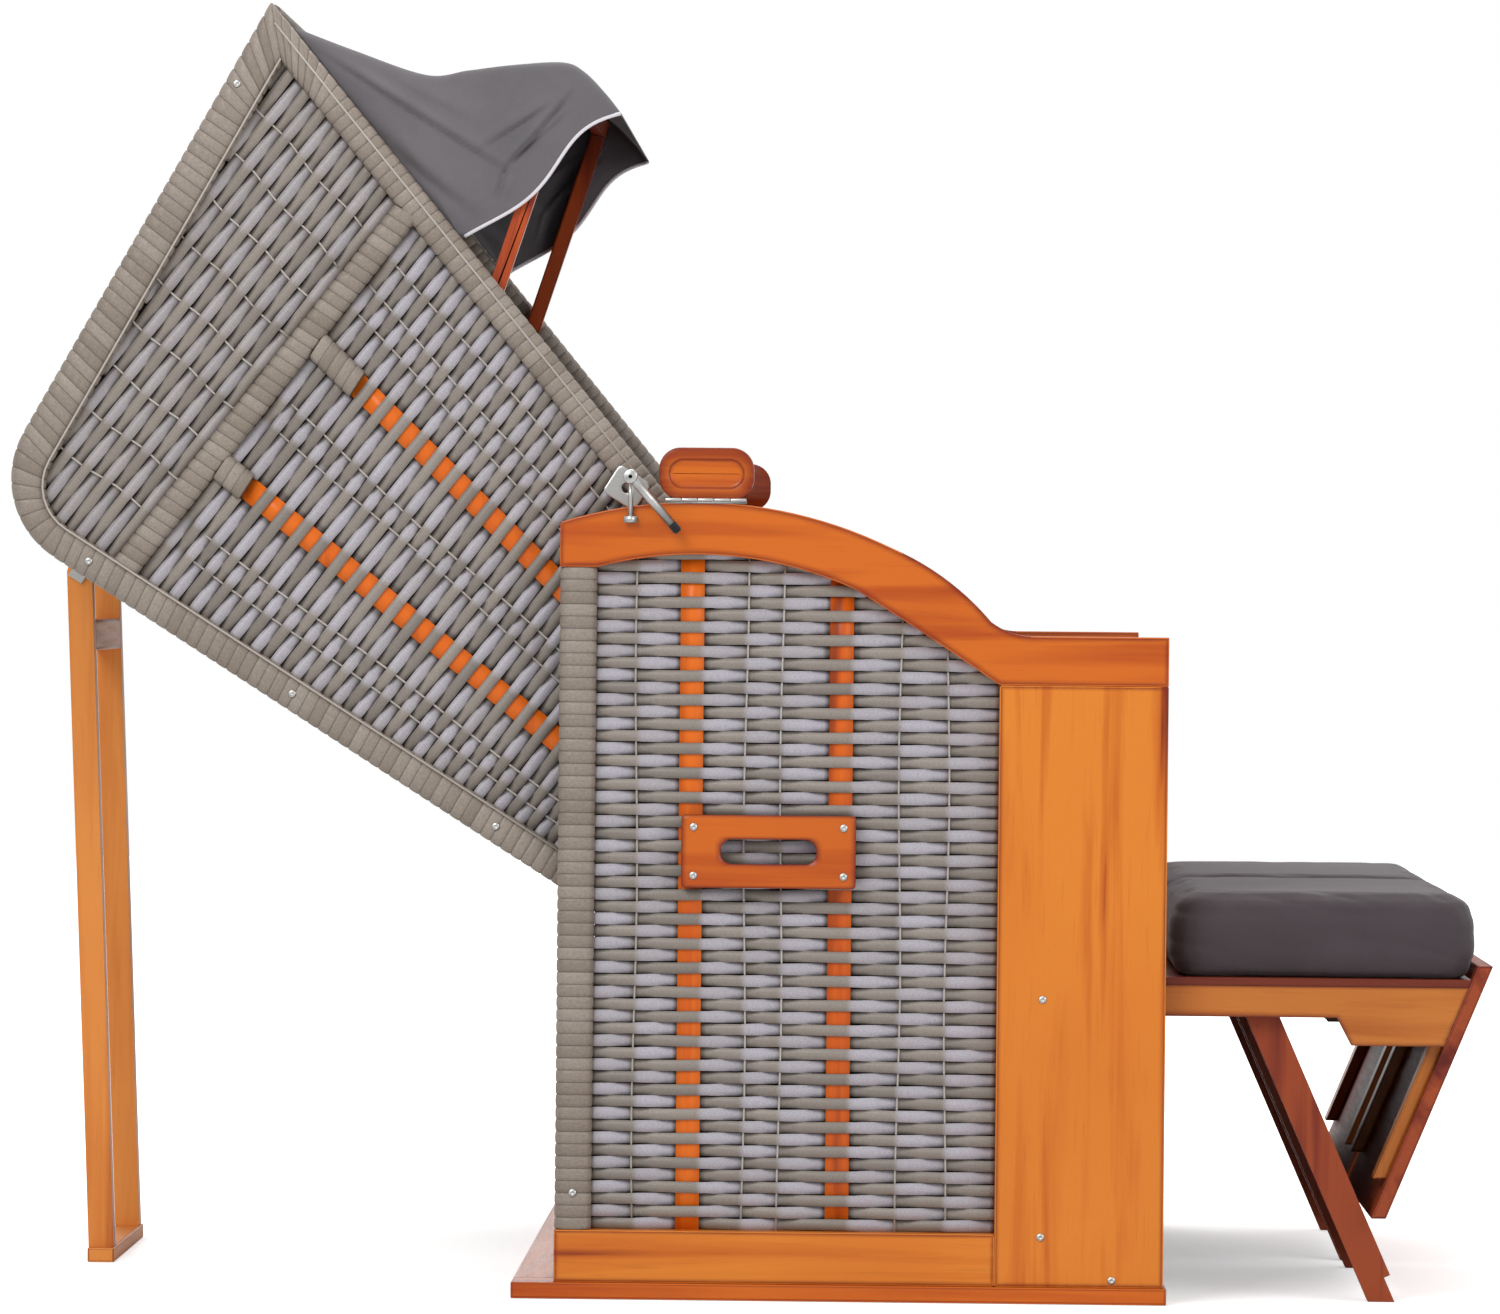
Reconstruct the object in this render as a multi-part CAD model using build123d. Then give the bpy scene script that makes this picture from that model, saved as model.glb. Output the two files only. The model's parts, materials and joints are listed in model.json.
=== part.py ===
from build123d import *
import os
from math import atan, cos, degrees, radians, sin, tan

# Hooded two-seat beach chair with its hood laid back and both footrests pulled out.
# Millimetres. X points forward, Y runs across the chair, Z up.
# The origin is on the floor under the middle of the lower basket.

# Overall size
overall_width = 1200.0
skid_length = 800.0
board = 20.0
cut_over = 10.0
face_gap = 0.3

# Lower basket, side walls
side_thick = 42.0
wall_clearance = 6.0
post_depth = 45.0
post_rear_inset = 52.0
rail_height = 64.0
front_board_length = 206.0
front_end_inset = 4.0
skid_width = 60.0
skid_out = 6.0
bearer_width = 90.0
post_rear_x = -skid_length / 2 + post_rear_inset
front_end_x = skid_length / 2 - front_end_inset
front_board_x = front_end_x - front_board_length
wall_length = front_end_x - post_rear_x

# Armrest outline, seen from the side: places along the wall, and falls below the crest
arm_crest_top = 974.0
arm_thick = 64.0
arm_fall = 160.0
arm_top_x_shares = (0.2366, 0.5444, 0.6290, 0.7083, 0.7379, 0.7823)
arm_low_x_shares = (0.4879, 0.6035)
arm_top_fall_shares = (0.1625, 0.3375, 0.5563, 0.8938, 0.9688)
arm_low_fall_shares = (0.1031, 0.2625, 0.6031, 0.9750)
arm_crest_x, arm_shoulder_x, arm_slope_x, arm_dip_x, arm_foot_x, arm_flat_x = (
    post_rear_x + share * wall_length for share in arm_top_x_shares)
arm_waist_x, arm_run_x = (post_rear_x + share * wall_length for share in arm_low_x_shares)
arm_rear_top, arm_shoulder_top, arm_slope_top, arm_dip_top, arm_foot_top = (
    arm_crest_top - share * arm_fall for share in arm_top_fall_shares)
arm_flat_top = arm_crest_top - arm_fall
arm_crest_low = arm_crest_top - arm_thick
arm_rear_low, arm_waist_low, arm_run_low, arm_flat_low = (
    arm_crest_low - share * arm_fall for share in arm_low_fall_shares)

# Woven panels
weave_pitch = 15.0
weave_core = 8.0
weave_rib = 3.0
stake_thick = 3.0
stake_width = 29.0
stake_rear_share = 0.2177
stake_front_share = 0.4637
stake_rear_x = post_rear_x + stake_rear_share * wall_length
stake_front_x = post_rear_x + stake_front_share * wall_length

# Carrying handle
handle_length = 213.0
handle_height = 89.0
handle_thick = 16.0
handle_shift = 4.5
handle_x = (stake_rear_x + stake_front_x) / 2 + handle_shift
handle_z = 548.0
slot_length = 117.0
slot_height = 28.0
slot_rise = 2.7
handle_round = 3.0

# Seat and the box below it
seat_board_thick = 15.0
seat_board_top = 416.0
seat_front_inset = 51.0
seat_front_x = front_end_x - seat_front_inset
divider_thick = 20.0
cushion_thick = 88.0
cushion_gap = 6.0
cushion_facets = 3
seat_cushion_clear = 130.5
rear_panel_drop = 24.0
rear_panel_top = seat_board_top - rear_panel_drop
rear_rail = 36.0
guide_height = 18.0
guide_width = 16.0

# Hood, measured with its back edge upright and the pivot at zero
recline = 57.5
pivot_inset = 87.5
pivot_x = post_rear_x + pivot_inset
pivot_z = 534.0
hood_thick = 34.0
hood_back_u = -75.0
hood_low_w = -80.0
hood_corner_round = 115.0
hood_roof_front_w = 945.0
hood_roof_fall = 38.0
hood_corner_w = hood_roof_front_w - hood_roof_fall
hood_front_u = 333.0
hood_front_lean = 18.2
hood_front_rise = tan(radians(hood_front_lean))
hood_heel_u = 60.0
roof_rim = 49.0
back_rim = 40.0
front_rim = 37.0
inner_bar = 34.0
bar_front_drop = 283.0
bar_back_drop = 186.0
bar_front_w = hood_roof_front_w - bar_front_drop
bar_back_w = hood_corner_w - bar_back_drop
rim_inner_round = 60.0
roof_thick = 20.0
bolt_radius = 7.0
bolt_fit = 0.06
bolt_head_radius = 15.0
bolt_head = 4.0
hood_stake_shares = (0.325, 0.63)
hood_stake_low_w = 60.0
hood_stake_top_drop = 75.0
stake_socket_width = 36.0
back_cushion_thick = 72.0
back_cushion_drop = 207.0
back_cushion_low_w = hood_low_w + roof_thick
back_cushion_top_w = hood_corner_w - back_cushion_drop
hood_screw_rise = 37.0
hood_screw_pitch = 298.5
roof_screw_inset = 108.0

# Awning on a swinging hoop
hoop_pivot_drop = 141.0
hoop_pivot_inset = 12.3
hoop_reach = 272.0
hoop_lift = 69.0
hoop_pivot_w = bar_front_w - hoop_pivot_drop
hoop_pivot_u = hood_front_u + hoop_pivot_w * hood_front_rise - hoop_pivot_inset
hoop_bar_u = hoop_pivot_u + hoop_reach
hoop_bar_w = hoop_pivot_w + hoop_lift
strut_thick = 14.0
strut_width = 20.0
hoop_pin_radius = 4.0
hoop_pin_seat = 15.0
cloth_thick = 3.0
cloth_clear = 1.5
cloth_top_drop = 20.0
cloth_hem_out = 4.0
cloth_hem_drop = 80.0
cloth_back_rise = 78.0
cloth_top_w = hood_roof_front_w - cloth_top_drop
cloth_hem_u = hoop_bar_u + cloth_hem_out
cloth_hem_w = hoop_bar_w - cloth_hem_drop
cloth_back_w = cloth_hem_w + cloth_back_rise
cloth_sag = 24.0

# Support leg behind the hood
leg_hinge_drop = 112.0
leg_hinge_w = hood_corner_w - leg_hinge_drop
leg_hinge_out = 20.0
leg_reach = 685.5
leg_foot_x = pivot_x - leg_reach
leg_width = 350.0
post_wide = 32.0
post_deep = 26.0
foot_length = 372.0
foot_wide = 34.0
foot_thick = 18.0
leg_rail_height = 40.0
leg_rail_drop = 60.0
hinge_pin_radius = 5.0
hinge_leaf = 3.0
hinge_leaf_height = 44.0
hinge_cheek = 12.0

# Footrests, measured forward from the basket's front end
foot_side_gap = 10.0
foot_deck_step = 18.0
foot_deck_thick = 10.0
foot_deck_top = seat_board_top - foot_deck_step
foot_deck_low = foot_deck_top - foot_deck_thick
foot_rail_thick = 22.0
foot_rail_depth = 38.0
foot_rail_low = foot_deck_low - foot_rail_depth
foot_rail_inside = 336.0
foot_rail_rear_x = front_end_x - foot_rail_inside
foot_drop_out = 212.0
foot_drop_x = front_end_x + foot_drop_out
foot_drop_run = 18.0
foot_drop_end_x = foot_drop_x + foot_drop_run
foot_drop_depth = 34.0
foot_drop_low = foot_rail_low - foot_drop_depth
foot_front_lean = 22.4
foot_front_out = 384.0
foot_front_top_x = front_end_x + foot_front_out
foot_front_lip = 17.0
foot_front_top = foot_deck_top + foot_front_lip
foot_front_low = 104.0
foot_front_thick = 17.0
batten_thick = 15.0
batten_width = 40.0
batten_rise = 47.0
batten_low = foot_front_low + batten_rise
foot_cushion_gap = 3.0
foot_cushion_rear_x = front_end_x + foot_cushion_gap
foot_cushion_front_x = foot_front_top_x + foot_cushion_gap
foot_cushion_thick = 105.0
foot_cushion_top = foot_deck_top + foot_cushion_thick
foot_leg_angle = 66.3
foot_leg_out = 112.0
foot_leg_rise = 12.0
foot_leg_x = front_end_x + foot_leg_out
foot_leg_z = foot_rail_low + foot_leg_rise
foot_leg_wide = 30.0
foot_leg_thick = 24.0
foot_leg_panel = 8.0
foot_leg_panel_short = 26.0
foot_leg_round_gap = 1.0

# Folding trays and hood locks on the armrests
tray_length = 116.0
tray_height = 64.0
tray_thick = 18.0
tray_inset = 178.0
tray_x = post_rear_x + tray_inset
tray_arc = 12.0
tray_recess_length = 90.0
tray_recess_height = 34.0
tray_recess_deep = 3.0
leaf_length = 98.0
leaf_thick = 2.5
leaf_width = 30.0
tray_barrel_radius = 2.4
lock_back = 1.5
lock_rise = 30.0
lock_x = pivot_x - lock_back
lock_z = arm_crest_top + lock_rise
lock_post_radius = 4.0
lock_ball_radius = 9.0
lock_arm_radius = 5.5
lock_arm_length = 90.0
lock_arm_angle = 48.5
lock_plate = 2.0
lock_plate_length = 60.0
lock_plate_height = 50.0
lock_fit = 0.1
lock_pin_radius = 3.0
lock_eye_length = 12.0

# Screws
screw_radius = 5.0
screw_head = 2.0
screw_sides = 8
bolt_sides = 6
front_screw_inset = 56.0
front_screw_high = 371.0
front_screw_low = 81.0
toe_screw_inset = 63.0
toe_screw_z = 29.0
post_screw_z = 129.0

half_width = overall_width / 2
wall_in = half_width - side_thick
hood_out = wall_in - wall_clearance
hood_in = hood_out - hood_thick
rail_low = board
rail_top = rail_low + rail_height
post_front_x = post_rear_x + post_depth
weave_full = weave_core + 2 * weave_rib
side_mid = half_width - side_thick / 2


def box(x0, x1, y0, y1, z0, z1):
    """Box between two corners."""
    return Pos((x0 + x1) / 2, (y0 + y1) / 2, (z0 + z1) / 2) * Box(x1 - x0, y1 - y0, z1 - z0)


def slab(edges, y0, y1):
    """Closed outline in the XZ plane, given as edges, carried from y0 to y1."""
    face = make_face(Wire(edges))
    return Pos(0, y0, 0) * extrude(face, amount=y1 - y0, dir=(0, 1, 0))


def polygon(points, y0, y1):
    """Solid with straight edges between (x, z) points, carried from y0 to y1."""
    ends = [(x, 0, z) for x, z in points]
    return slab(Polyline(*ends, close=True).edges(), y0, y1)


def across(radius, x, z, y0, y1):
    """Round bar along Y."""
    return Pos(x, (y0 + y1) / 2, z) * Rot(90, 0, 0) * Cylinder(radius, abs(y1 - y0))


def other_side(shape):
    """The same piece on the far side of the chair."""
    return mirror(shape, Plane.XZ)


def ribbed(length, height):
    """Woven panel from its middle: rows run along X and swell out of both faces."""
    rows = int(height // weave_pitch)
    low = -rows * weave_pitch / 2
    out = []
    for row in range(rows):
        foot = low + row * weave_pitch
        out.append((weave_core / 2, foot))
        out.append((weave_core / 2 + weave_rib, foot + weave_pitch / 2))
    out.append((weave_core / 2, low + rows * weave_pitch))
    both = [(0, y, z) for y, z in out] + [(0, -y, z) for y, z in reversed(out)]
    face = make_face(Polyline(*both, close=True).edges())
    return Pos(-length / 2, 0, 0) * extrude(face, amount=length, dir=(1, 0, 0))


def arm_top():
    """Upper edge of the armrest from the rear to the front."""
    return [
        ThreePointArc((post_rear_x, 0, arm_rear_top), (arm_crest_x, 0, arm_crest_top),
                      (arm_shoulder_x, 0, arm_shoulder_top)),
        ThreePointArc((arm_shoulder_x, 0, arm_shoulder_top), (arm_slope_x, 0, arm_slope_top),
                      (arm_dip_x, 0, arm_dip_top)),
        ThreePointArc((arm_dip_x, 0, arm_dip_top), (arm_foot_x, 0, arm_foot_top),
                      (arm_flat_x, 0, arm_flat_top)),
        Line((arm_flat_x, 0, arm_flat_top), (front_end_x, 0, arm_flat_top)),
    ]


def arm_low():
    """Lower edge of the armrest from the rear to the front."""
    return [
        Line((post_rear_x, 0, arm_rear_low), (post_front_x, 0, arm_rear_low)),
        ThreePointArc((post_front_x, 0, arm_rear_low), (arm_crest_x, 0, arm_crest_low),
                      (arm_waist_x, 0, arm_waist_low)),
        ThreePointArc((arm_waist_x, 0, arm_waist_low), (arm_run_x, 0, arm_run_low),
                      (front_board_x, 0, arm_flat_low)),
        Line((front_board_x, 0, arm_flat_low), (front_end_x, 0, arm_flat_low)),
    ]


def armrest():
    """Curved board along the top of the near side wall."""
    ends = [
        Line((post_rear_x, 0, arm_rear_low), (post_rear_x, 0, arm_rear_top)),
        Line((front_end_x, 0, arm_flat_low), (front_end_x, 0, arm_flat_top)),
    ]
    return slab(arm_top() + arm_low() + ends, -half_width, -wall_in)


def side_weave():
    """Woven panel of the near side wall, cut to the armrest's lower edge."""
    length = front_board_x - post_front_x
    tall = arm_crest_low - rail_top
    rows = ribbed(length, tall + 2 * weave_pitch)
    rows = Pos(post_front_x + length / 2, -side_mid, rail_top + tall / 2) * rows
    low = arm_low()
    window = slab(
        low[1:3]
        + [
            Line((front_board_x, 0, arm_flat_low), (front_board_x, 0, rail_top)),
            Line((front_board_x, 0, rail_top), (post_front_x, 0, rail_top)),
            Line((post_front_x, 0, rail_top), (post_front_x, 0, arm_rear_low)),
        ],
        -half_width, -wall_in,
    )
    return rows & window


def side_stakes():
    """Two accent stakes in front of the near woven panel."""
    out = -side_mid - weave_full / 2
    stakes = []
    for x, top in ((stake_rear_x, arm_crest_low), (stake_front_x, arm_waist_low)):
        stakes.append(box(x - stake_width / 2, x + stake_width / 2, out - stake_thick, out,
                          rail_top, top - weave_pitch / 2))
    return stakes


def handle():
    """Grip plate with a long slot, seated on the accent stakes."""
    y_in = -side_mid - weave_full / 2 - stake_thick
    plate = box(handle_x - handle_length / 2, handle_x + handle_length / 2, y_in - handle_thick,
                y_in, handle_z - handle_height / 2, handle_z + handle_height / 2)
    plate = fillet(plate.faces().sort_by(Axis.Y)[0].edges(), handle_round)
    slot = Pos(handle_x, y_in, handle_z + slot_rise) * Rot(90, 0, 0) * extrude(
        SlotOverall(slot_length, slot_height), amount=handle_thick + cut_over, both=True)
    return plate - slot


def head(radius, sides, x, z, y0, y1):
    """Flat-sided screw or bolt head along Y."""
    return Pos(x, y1, z) * Rot(90, 0, 0) * extrude(RegularPolygon(radius, sides), amount=y1 - y0)


def screw_heads(spots, y_face):
    """Screw heads standing on a near side face."""
    return [head(screw_radius, screw_sides, x, z, y_face - screw_head, y_face) for x, z in spots]


def soft_ring(x0, x1, y0, y1, z, inset, corner):
    """Points of a cushion's outline at one height, with a few facets round each corner."""
    reach_x = (x1 - x0) / 2 - inset - corner
    reach_y = (y1 - y0) / 2 - inset - corner
    points = []
    for quarter, side_x, side_y in ((0, 1, 1), (1, -1, 1), (2, -1, -1), (3, 1, -1)):
        for step in range(cushion_facets + 1):
            turn = radians(90 * (quarter + step / cushion_facets))
            points.append(((x0 + x1) / 2 + side_x * reach_x + corner * cos(turn),
                           (y0 + y1) / 2 + side_y * reach_y + corner * sin(turn), z))
    return points


def faceted(rings):
    """Closed solid with flat facets between rings of points, one above the other."""
    faces = [make_face(Polyline(*ring, close=True).edges()) for ring in (rings[0], rings[-1])]
    for low, high in zip(rings, rings[1:]):
        for start in range(len(low)):
            corners = (low[start - 1], low[start], high[start], high[start - 1])
            faces.append(make_face(Polyline(*corners, close=True).edges()))
    return Solid(Shell([face.faces()[0] for face in faces]))


def cushion(x0, x1, y0, y1, z0, z1):
    """Box cushion with a crowned top and sides that draw in towards its edges."""
    thick = z1 - z0
    crown = thick / 9
    draw = thick / 12
    tiers = [(z0, draw), (z0 + thick / 4, 0), (z1 - crown - thick / 4, 0), (z1 - crown, draw),
             (z1 - crown / 3, draw + thick / 5), (z1, draw + thick)]
    return faceted([soft_ring(x0, x1, y0, y1, z, inset, thick / 3) for z, inset in tiers])


def hood_front(w):
    """Forward reach of the hood's front edge at a height."""
    return hood_front_u + w * hood_front_rise


def hood_roof(u):
    """Height of the roof edge over the hood's side."""
    run = hood_front(hood_roof_front_w) - hood_back_u
    return hood_corner_w + (hood_roof_front_w - hood_corner_w) * (u - hood_back_u) / run


def hood_face(inset_back, inset_front, inset_roof, inset_low, corner):
    """Outline of the hood's side, drawn in by a rim on each edge."""
    lean = radians(hood_front_lean)
    u_back = hood_back_u + inset_back
    w_low = hood_low_w + inset_low
    front = [hood_front(w) - inset_front / cos(lean) for w in (0, hood_roof_front_w)]
    roof_front = hood_roof_front_w - inset_roof
    top_u = front[1] - inset_roof * tan(lean)
    toe_w = inset_low
    points = [
        (u_back, 0, w_low),
        (hood_heel_u, 0, w_low),
        (front[0] + toe_w * tan(lean), 0, toe_w),
        (top_u, 0, roof_front),
        (u_back, 0, hood_roof(u_back) - inset_roof),
    ]
    face = make_face(Polyline(*points, close=True).edges())
    rounded = face.vertices().sort_by(lambda v: v.Z - v.X)[-1]
    return fillet(rounded, corner)


def hood_slab(face, y0, y1):
    """Hood outline carried from y0 to y1."""
    return Pos(0, y0, 0) * extrude(face, amount=y1 - y0, dir=(0, 1, 0))


def hood_window():
    """Opening inside the rims of the near hood side."""
    face = hood_face(back_rim, front_rim, roof_rim, back_rim, rim_inner_round)
    return hood_slab(face, -hood_out - cut_over, -hood_in + cut_over)


def bar_solid(y0, y1):
    """Inner bar from the front rim to the back rim."""
    half = inner_bar / 2
    front = hood_front(bar_front_w)
    slope = (bar_back_w - bar_front_w) / (hood_back_u - front)
    ends = []
    for u in (hood_back_u + back_rim / 2, front - front_rim / 2):
        ends.append((u, bar_front_w + slope * (u - front)))
    points = [(ends[0][0], ends[0][1] - half), (ends[1][0], ends[1][1] - half),
              (ends[1][0], ends[1][1] + half), (ends[0][0], ends[0][1] + half)]
    return polygon(points, y0, y1)


def hood_share_u(share, w):
    """Place between the hood's back and front edges at a height."""
    return hood_back_u + share * (hood_front(w) - hood_back_u)


def stake_socket(share, y0, y1):
    """Short wrapped bar that holds the head of an accent stake under the inner bar."""
    half = stake_socket_width / 2
    low_w = bar_front_w - hood_stake_top_drop
    top_w = bar_back_w + share * (bar_front_w - bar_back_w)
    low_u = hood_share_u(share, low_w)
    top_u = hood_share_u(share, top_w)
    return polygon([(low_u - half, low_w), (low_u + half, low_w), (top_u + half, top_w),
                    (top_u - half, top_w)], y0, y1)


def hood_frame():
    """Rim of the near hood side with its inner bar, stake sockets and pivot boss."""
    outer = hood_slab(hood_face(0, 0, 0, 0, hood_corner_round), -hood_out, -hood_in)
    frame = outer - hood_window()
    frame = frame + bar_solid(-hood_out, -hood_in)
    for share in hood_stake_shares:
        frame = frame + stake_socket(share, -hood_out, -hood_in)
    boss_half = back_rim
    boss = box(hood_back_u + back_rim / 2, boss_half, -hood_out, -hood_in,
               hood_low_w + back_rim / 2, boss_half)
    frame = frame + boss
    frame = frame - across(hoop_pin_radius + bolt_fit, hoop_pivot_u, hoop_pivot_w,
                           -hood_in - hoop_pin_seat - face_gap, -hood_in + cut_over)
    return frame - across(bolt_radius + bolt_fit, 0, 0, -hood_out - cut_over, -hood_in + cut_over)


def hood_weave(frame):
    """Woven panel that fills the near hood side inside its rims."""
    width = hood_front(hood_roof_front_w) - hood_back_u
    tall = hood_roof_front_w - hood_low_w
    slope = (bar_front_w - bar_back_w) / (hood_front(bar_front_w) - hood_back_u)
    rows = ribbed(2 * width, 2 * tall)
    middle = -(hood_out + hood_in) / 2
    turn = -degrees(atan(slope))
    rows = Pos(0, middle, (bar_front_w + bar_back_w) / 2) * Rot(0, turn, 0) * rows
    window = hood_slab(hood_face(back_rim, front_rim, roof_rim, back_rim, rim_inner_round),
                       -hood_out, -hood_in)
    panel = (rows & window) - frame
    return panel


def hood_stakes():
    """Accent stakes that fan with the hood's side, below the inner bar."""
    out = -(hood_out + hood_in) / 2 - weave_full / 2
    stakes = []
    for share in hood_stake_shares:
        ends = []
        for w in (hood_stake_low_w, bar_front_w - hood_stake_top_drop):
            ends.append((hood_share_u(share, w), w))
        half = stake_width / 2
        points = [(ends[0][0] - half, ends[0][1]), (ends[0][0] + half, ends[0][1]),
                  (ends[1][0] + half, ends[1][1]), (ends[1][0] - half, ends[1][1])]
        stakes.append(polygon(points, out - stake_thick, out))
    return stakes


def laid_back(shape):
    """Turns a hood piece from its upright frame to where it rests."""
    return Pos(pivot_x, 0, pivot_z) * Rot(0, -recline, 0) * shape


def hood_point(u, w):
    """Resting place of a point given in the hood's upright frame."""
    turn = radians(recline)
    return (pivot_x + u * cos(turn) - w * sin(turn), pivot_z + u * sin(turn) + w * cos(turn))


def awning_cloth():
    """Cloth from the roof's front edge over the hoop, with a hem and two gussets."""
    over = strut_width * 0.75 + cloth_thick + cloth_clear
    bar_u = hoop_bar_u + over
    bar_w = hoop_bar_w + over
    cloth_top_u = hood_front(cloth_top_w) + face_gap
    cloth_back_u = hood_front(cloth_back_w) + face_gap
    mid = ((cloth_top_u + bar_u) / 2 - cloth_sag, (cloth_top_w + bar_w) / 2 - cloth_sag / 3)
    outline = [
        (cloth_top_u, cloth_top_w), mid, (bar_u, bar_w), (cloth_hem_u + over, cloth_hem_w),
        (cloth_back_u, cloth_back_w),
    ]
    side = hood_in - cloth_clear
    full = polygon(outline, -side, side)
    inner = [
        (cloth_top_u - 2 * cut_over, cloth_top_w - 2 * cloth_thick),
        (mid[0] - cloth_thick, mid[1] - cloth_thick),
        (bar_u - cloth_thick, bar_w - cloth_thick),
        (cloth_hem_u + over - cloth_thick, cloth_hem_w - cut_over),
        (cloth_back_u - cut_over, cloth_back_w - 2 * cut_over),
    ]
    return full - polygon(inner, -side + cloth_thick, side - cloth_thick)


def hoop():
    """Two struts and the bar between them."""
    side = hood_in - cloth_clear - cloth_thick - face_gap
    run_u = hoop_bar_u - hoop_pivot_u
    run_w = hoop_bar_w - hoop_pivot_w
    length = (run_u ** 2 + run_w ** 2) ** 0.5
    dir_u, dir_w = run_u / length, run_w / length
    half = strut_width / 2
    points = [
        (hoop_pivot_u - dir_u * half - dir_w * half, hoop_pivot_w - dir_w * half + dir_u * half),
        (hoop_bar_u + dir_u * half - dir_w * half, hoop_bar_w + dir_w * half + dir_u * half),
        (hoop_bar_u + dir_u * half + dir_w * half, hoop_bar_w + dir_w * half - dir_u * half),
        (hoop_pivot_u - dir_u * half + dir_w * half, hoop_pivot_w - dir_w * half - dir_u * half),
    ]
    bar = [points[1], points[2]]
    back = [(x - dir_u * strut_width, z - dir_w * strut_width) for x, z in (points[2], points[1])]
    frame = polygon(points, -side, -side + strut_thick) + polygon(points, side - strut_thick, side)
    frame = frame + polygon(bar + back, -side, side)
    for y0, y1 in ((-hood_in - hoop_pin_seat, -side), (side, hood_in + hoop_pin_seat)):
        frame = frame + across(hoop_pin_radius, hoop_pivot_u, hoop_pivot_w, y0, y1)
    return frame


def leg_frame(shape):
    """Stands a leg piece, drawn hanging below zero, under its hinge with its lean."""
    top_x, top_z = leg_hinge()
    lean = (leg_foot_x - top_x) / top_z
    angle = -degrees(atan(lean))
    return Pos(top_x, 0, top_z) * Rot(0, angle, 0) * shape


def leg_hinge():
    """Axis of the support leg on the back of the hood."""
    return hood_point(hood_back_u - leg_hinge_out, leg_hinge_w)


def save(name, shapes):
    """Writes one node."""
    if isinstance(shapes, (list, tuple)):
        shape = Compound(children=[s for s in shapes])
    else:
        shape = shapes
    shape.label = name
    export_step(shape, "parts/" + name + ".step")


def build_base():
    skid = box(-skid_length / 2, skid_length / 2, -half_width - skid_out,
               -half_width - skid_out + skid_width, 0, board)
    save("skids", [skid, other_side(skid)])
    skid_in = half_width + skid_out - skid_width
    save("rear_cross_board", box(-skid_length / 2, post_rear_x, -skid_in, skid_in, 0, board))
    save("floor_bearer", box(-bearer_width / 2, bearer_width / 2, -skid_in, skid_in, 0, board))

    rail = box(post_rear_x, front_board_x, -half_width, -wall_in, rail_low, rail_top)
    post = box(post_rear_x, post_front_x, -half_width, -wall_in, rail_top, arm_rear_low)
    front = box(front_board_x, front_end_x, -half_width, -wall_in, rail_low, arm_flat_low)
    bore = across(bolt_radius + bolt_fit, pivot_x, pivot_z, -half_width, -wall_in)
    weave = side_weave() - bore
    near = {
        "bottom_rail": rail, "rear_post": post, "front_board": front, "armrest": armrest(),
        "side_weave": weave, "handle": handle(),
    }
    for name, shape in near.items():
        save(name + "_near", shape)
        save(name + "_far", other_side(shape))
    stakes = side_stakes()
    save("side_stakes", stakes + [other_side(s) for s in stakes])
    front_x = front_board_x + front_screw_inset
    heads = screw_heads(
        [(front_x, front_screw_high), (front_x, front_screw_low),
         (front_end_x - toe_screw_inset, toe_screw_z),
         (post_rear_x + post_depth / 2, post_screw_z)], -half_width)
    y_plate = -side_mid - weave_full / 2 - stake_thick - handle_thick
    inset = handle_height / 6
    out_x = handle_length / 2 - inset
    out_z = handle_height / 2 - inset
    corners = [(handle_x + sx * out_x, handle_z + sz * out_z) for sx in (-1, 1) for sz in (-1, 1)]
    heads = heads + screw_heads(corners, y_plate)
    save("side_screws", heads + [other_side(s) for s in heads])


def build_seat():
    panel_tall = rear_panel_top - rail_low - 2 * rear_rail
    panel = ribbed(2 * wall_in, panel_tall + 2 * weave_pitch)
    panel_x = post_rear_x + post_depth / 2
    window = box(post_rear_x, post_front_x, -wall_in, wall_in, rail_low + rear_rail,
                 rear_panel_top - rear_rail)
    panel = Pos(panel_x, 0, (rail_low + rear_panel_top) / 2) * Rot(0, 0, 90) * panel
    panel = panel & window
    low = box(post_rear_x, post_front_x, -wall_in, wall_in, rail_low, rail_low + rear_rail)
    top = box(post_rear_x, post_front_x, -wall_in, wall_in, rear_panel_top - rear_rail, rear_panel_top)
    save("rear_panel", panel + low + top)
    board_low = seat_board_top - seat_board_thick
    save("seat_board", box(post_front_x, seat_front_x, -wall_in, wall_in, board_low, seat_board_top))
    save("seat_divider", box(post_front_x, seat_front_x, -divider_thick / 2, divider_thick / 2,
                             rail_low, board_low))
    guide_top = foot_rail_low - face_gap
    guides = []
    for y0, wide in ((-wall_in, guide_width + foot_side_gap),
                     (-divider_thick / 2 - guide_width, guide_width)):
        guides.append(box(post_front_x, seat_front_x, y0, y0 + wide, guide_top - guide_height,
                          guide_top))
    save("footrest_guides", guides + [other_side(g) for g in guides])
    y_out = hood_in - cushion_gap
    seat = cushion(pivot_x + seat_cushion_clear, seat_front_x, -y_out, -cushion_gap / 2,
                   seat_board_top + face_gap, seat_board_top + cushion_thick)
    save("seat_cushion_near", seat)
    save("seat_cushion_far", other_side(seat))


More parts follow.
